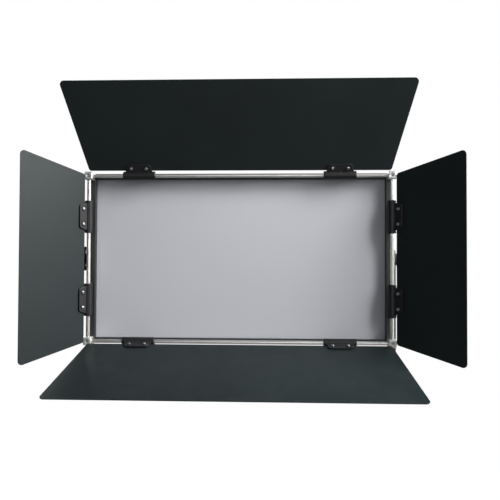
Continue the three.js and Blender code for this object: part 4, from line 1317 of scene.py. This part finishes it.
AMBIENT = {"above": 0.15, "below": 0.03}
KEY_POWER = 131.0
GLEAM_POWER = 8.0
SIDE_POWER = 3.0
REAR_POWER = 70.0
AIM = (0.0, -0.05, 0.29)
REAR_AIM = (0.0, 0.1, 0.3)
FLOOR_RINGS = np.array([2.0, 6.0, 20.0, 60.0])
FLOOR_STEPS = 96


def studio():
    """A pale floor running out into a white surround, a large key from the upper right, soft fill behind."""
    world = bpy.data.worlds.new("studio")
    bpy.context.scene.world = world
    world.use_nodes = True
    tree = world.node_tree
    seen = emitter(tree, "ShaderNodeBackground", WHITE, 1.0)
    lit = tree.nodes.new("ShaderNodeBackground")
    lit.inputs["Color"].default_value = (0.93, 0.97, 1.0, 1.0)
    split = tree.nodes.new("ShaderNodeSeparateXYZ")
    wire(tree, tree.nodes.new("ShaderNodeTexCoord").outputs["Generated"], split.inputs[0])
    rise = ramp_between(tree, split.outputs["Z"], -0.25, 0.35, AMBIENT["below"], AMBIENT["above"])
    wire(tree, rise, lit.inputs["Strength"])
    lit = lit.outputs[0]
    tree.links.new(seen_or_lit(tree, seen, lit), tree.nodes["World Output"].inputs[0])

    heights = np.full(FLOOR_STEPS, FLOOR_Z)
    rings = np.stack([np.column_stack([circle(r, FLOOR_STEPS), heights]) for r in FLOOR_RINGS])
    index = np.arange(len(FLOOR_RINGS) * FLOOR_STEPS).reshape(len(FLOOR_RINGS), FLOOR_STEPS)
    quads = np.stack([index[:-1], index[1:], np.roll(index[1:], -1, 1), np.roll(index[:-1], -1, 1)], -1)
    mesh = bpy.data.meshes.new("floor")
    mesh.from_pydata(rings.reshape(-1, 3).tolist(), [], quads.reshape(-1, 4).tolist() + [index[0].tolist()])
    floor = bpy.data.objects.new("floor", mesh)
    bpy.context.scene.collection.objects.link(floor)
    pale = bpy.data.materials.new("floor_paper")
    pale.use_nodes = True
    tree = pale.node_tree
    tree.nodes.remove(tree.nodes["Principled BSDF"])
    paper = tree.nodes.new("ShaderNodeBsdfDiffuse")
    paper.inputs["Color"].default_value = (0.9, 0.9, 0.9, 1.0)
    glow = emitter(tree, "ShaderNodeEmission", WHITE, 1.0)
    blend = tree.nodes.new("ShaderNodeMixShader")
    reach = tree.nodes.new("ShaderNodeVectorMath")
    reach.operation = "LENGTH"
    wire(tree, tree.nodes.new("ShaderNodeTexCoord").outputs["Object"], reach.inputs[0])
    wire(tree, ramp_between(tree, reach.outputs["Value"], 0.5, 2.4, 0.72, 1.0), blend.inputs[0])
    wire(tree, paper.outputs[0], blend.inputs[1])
    wire(tree, glow, blend.inputs[2])
    grey = tree.nodes.new("ShaderNodeBsdfDiffuse")
    grey.inputs["Color"].default_value = (0.18, 0.18, 0.18, 1.0)
    surface = seen_or_lit(tree, blend.outputs[0], grey.outputs[0])
    tree.links.new(surface, tree.nodes["Material Output"].inputs[0])
    mesh.materials.append(pale)

    softbox("key", (2.12, -0.93, 1.74), AIM, (1.4, 2.1), KEY_POWER, (1.0, 1.0, 0.99))
    softbox("side", (1.79, -0.28, -0.11), (-0.36, -0.13, 0.29), (0.5, 0.4), SIDE_POWER)
    softbox("gleam", (0.1, -2.6, 0.6), AIM, (0.6, 0.5), GLEAM_POWER, sheen_only=True)
    softbox("rear_left", (-1.8, 2.0, 1.6), REAR_AIM, (1.4, 1.2), REAR_POWER)
    softbox("rear_right", (2.0, 1.8, 0.9), REAR_AIM, (1.2, 1.2), REAR_POWER * 0.6)
    softbox("rear_middle", (0.3, 2.4, 0.5), REAR_AIM, (1.0, 0.8), REAR_POWER * 0.5)


# ---------------------------------------------------------------- build

barn_doors()
rod_frame()
light_box()
control_panel()
tilt_clamps()
yoke()
finish_plain_nodes()
camera()
plain_colours()
studio()
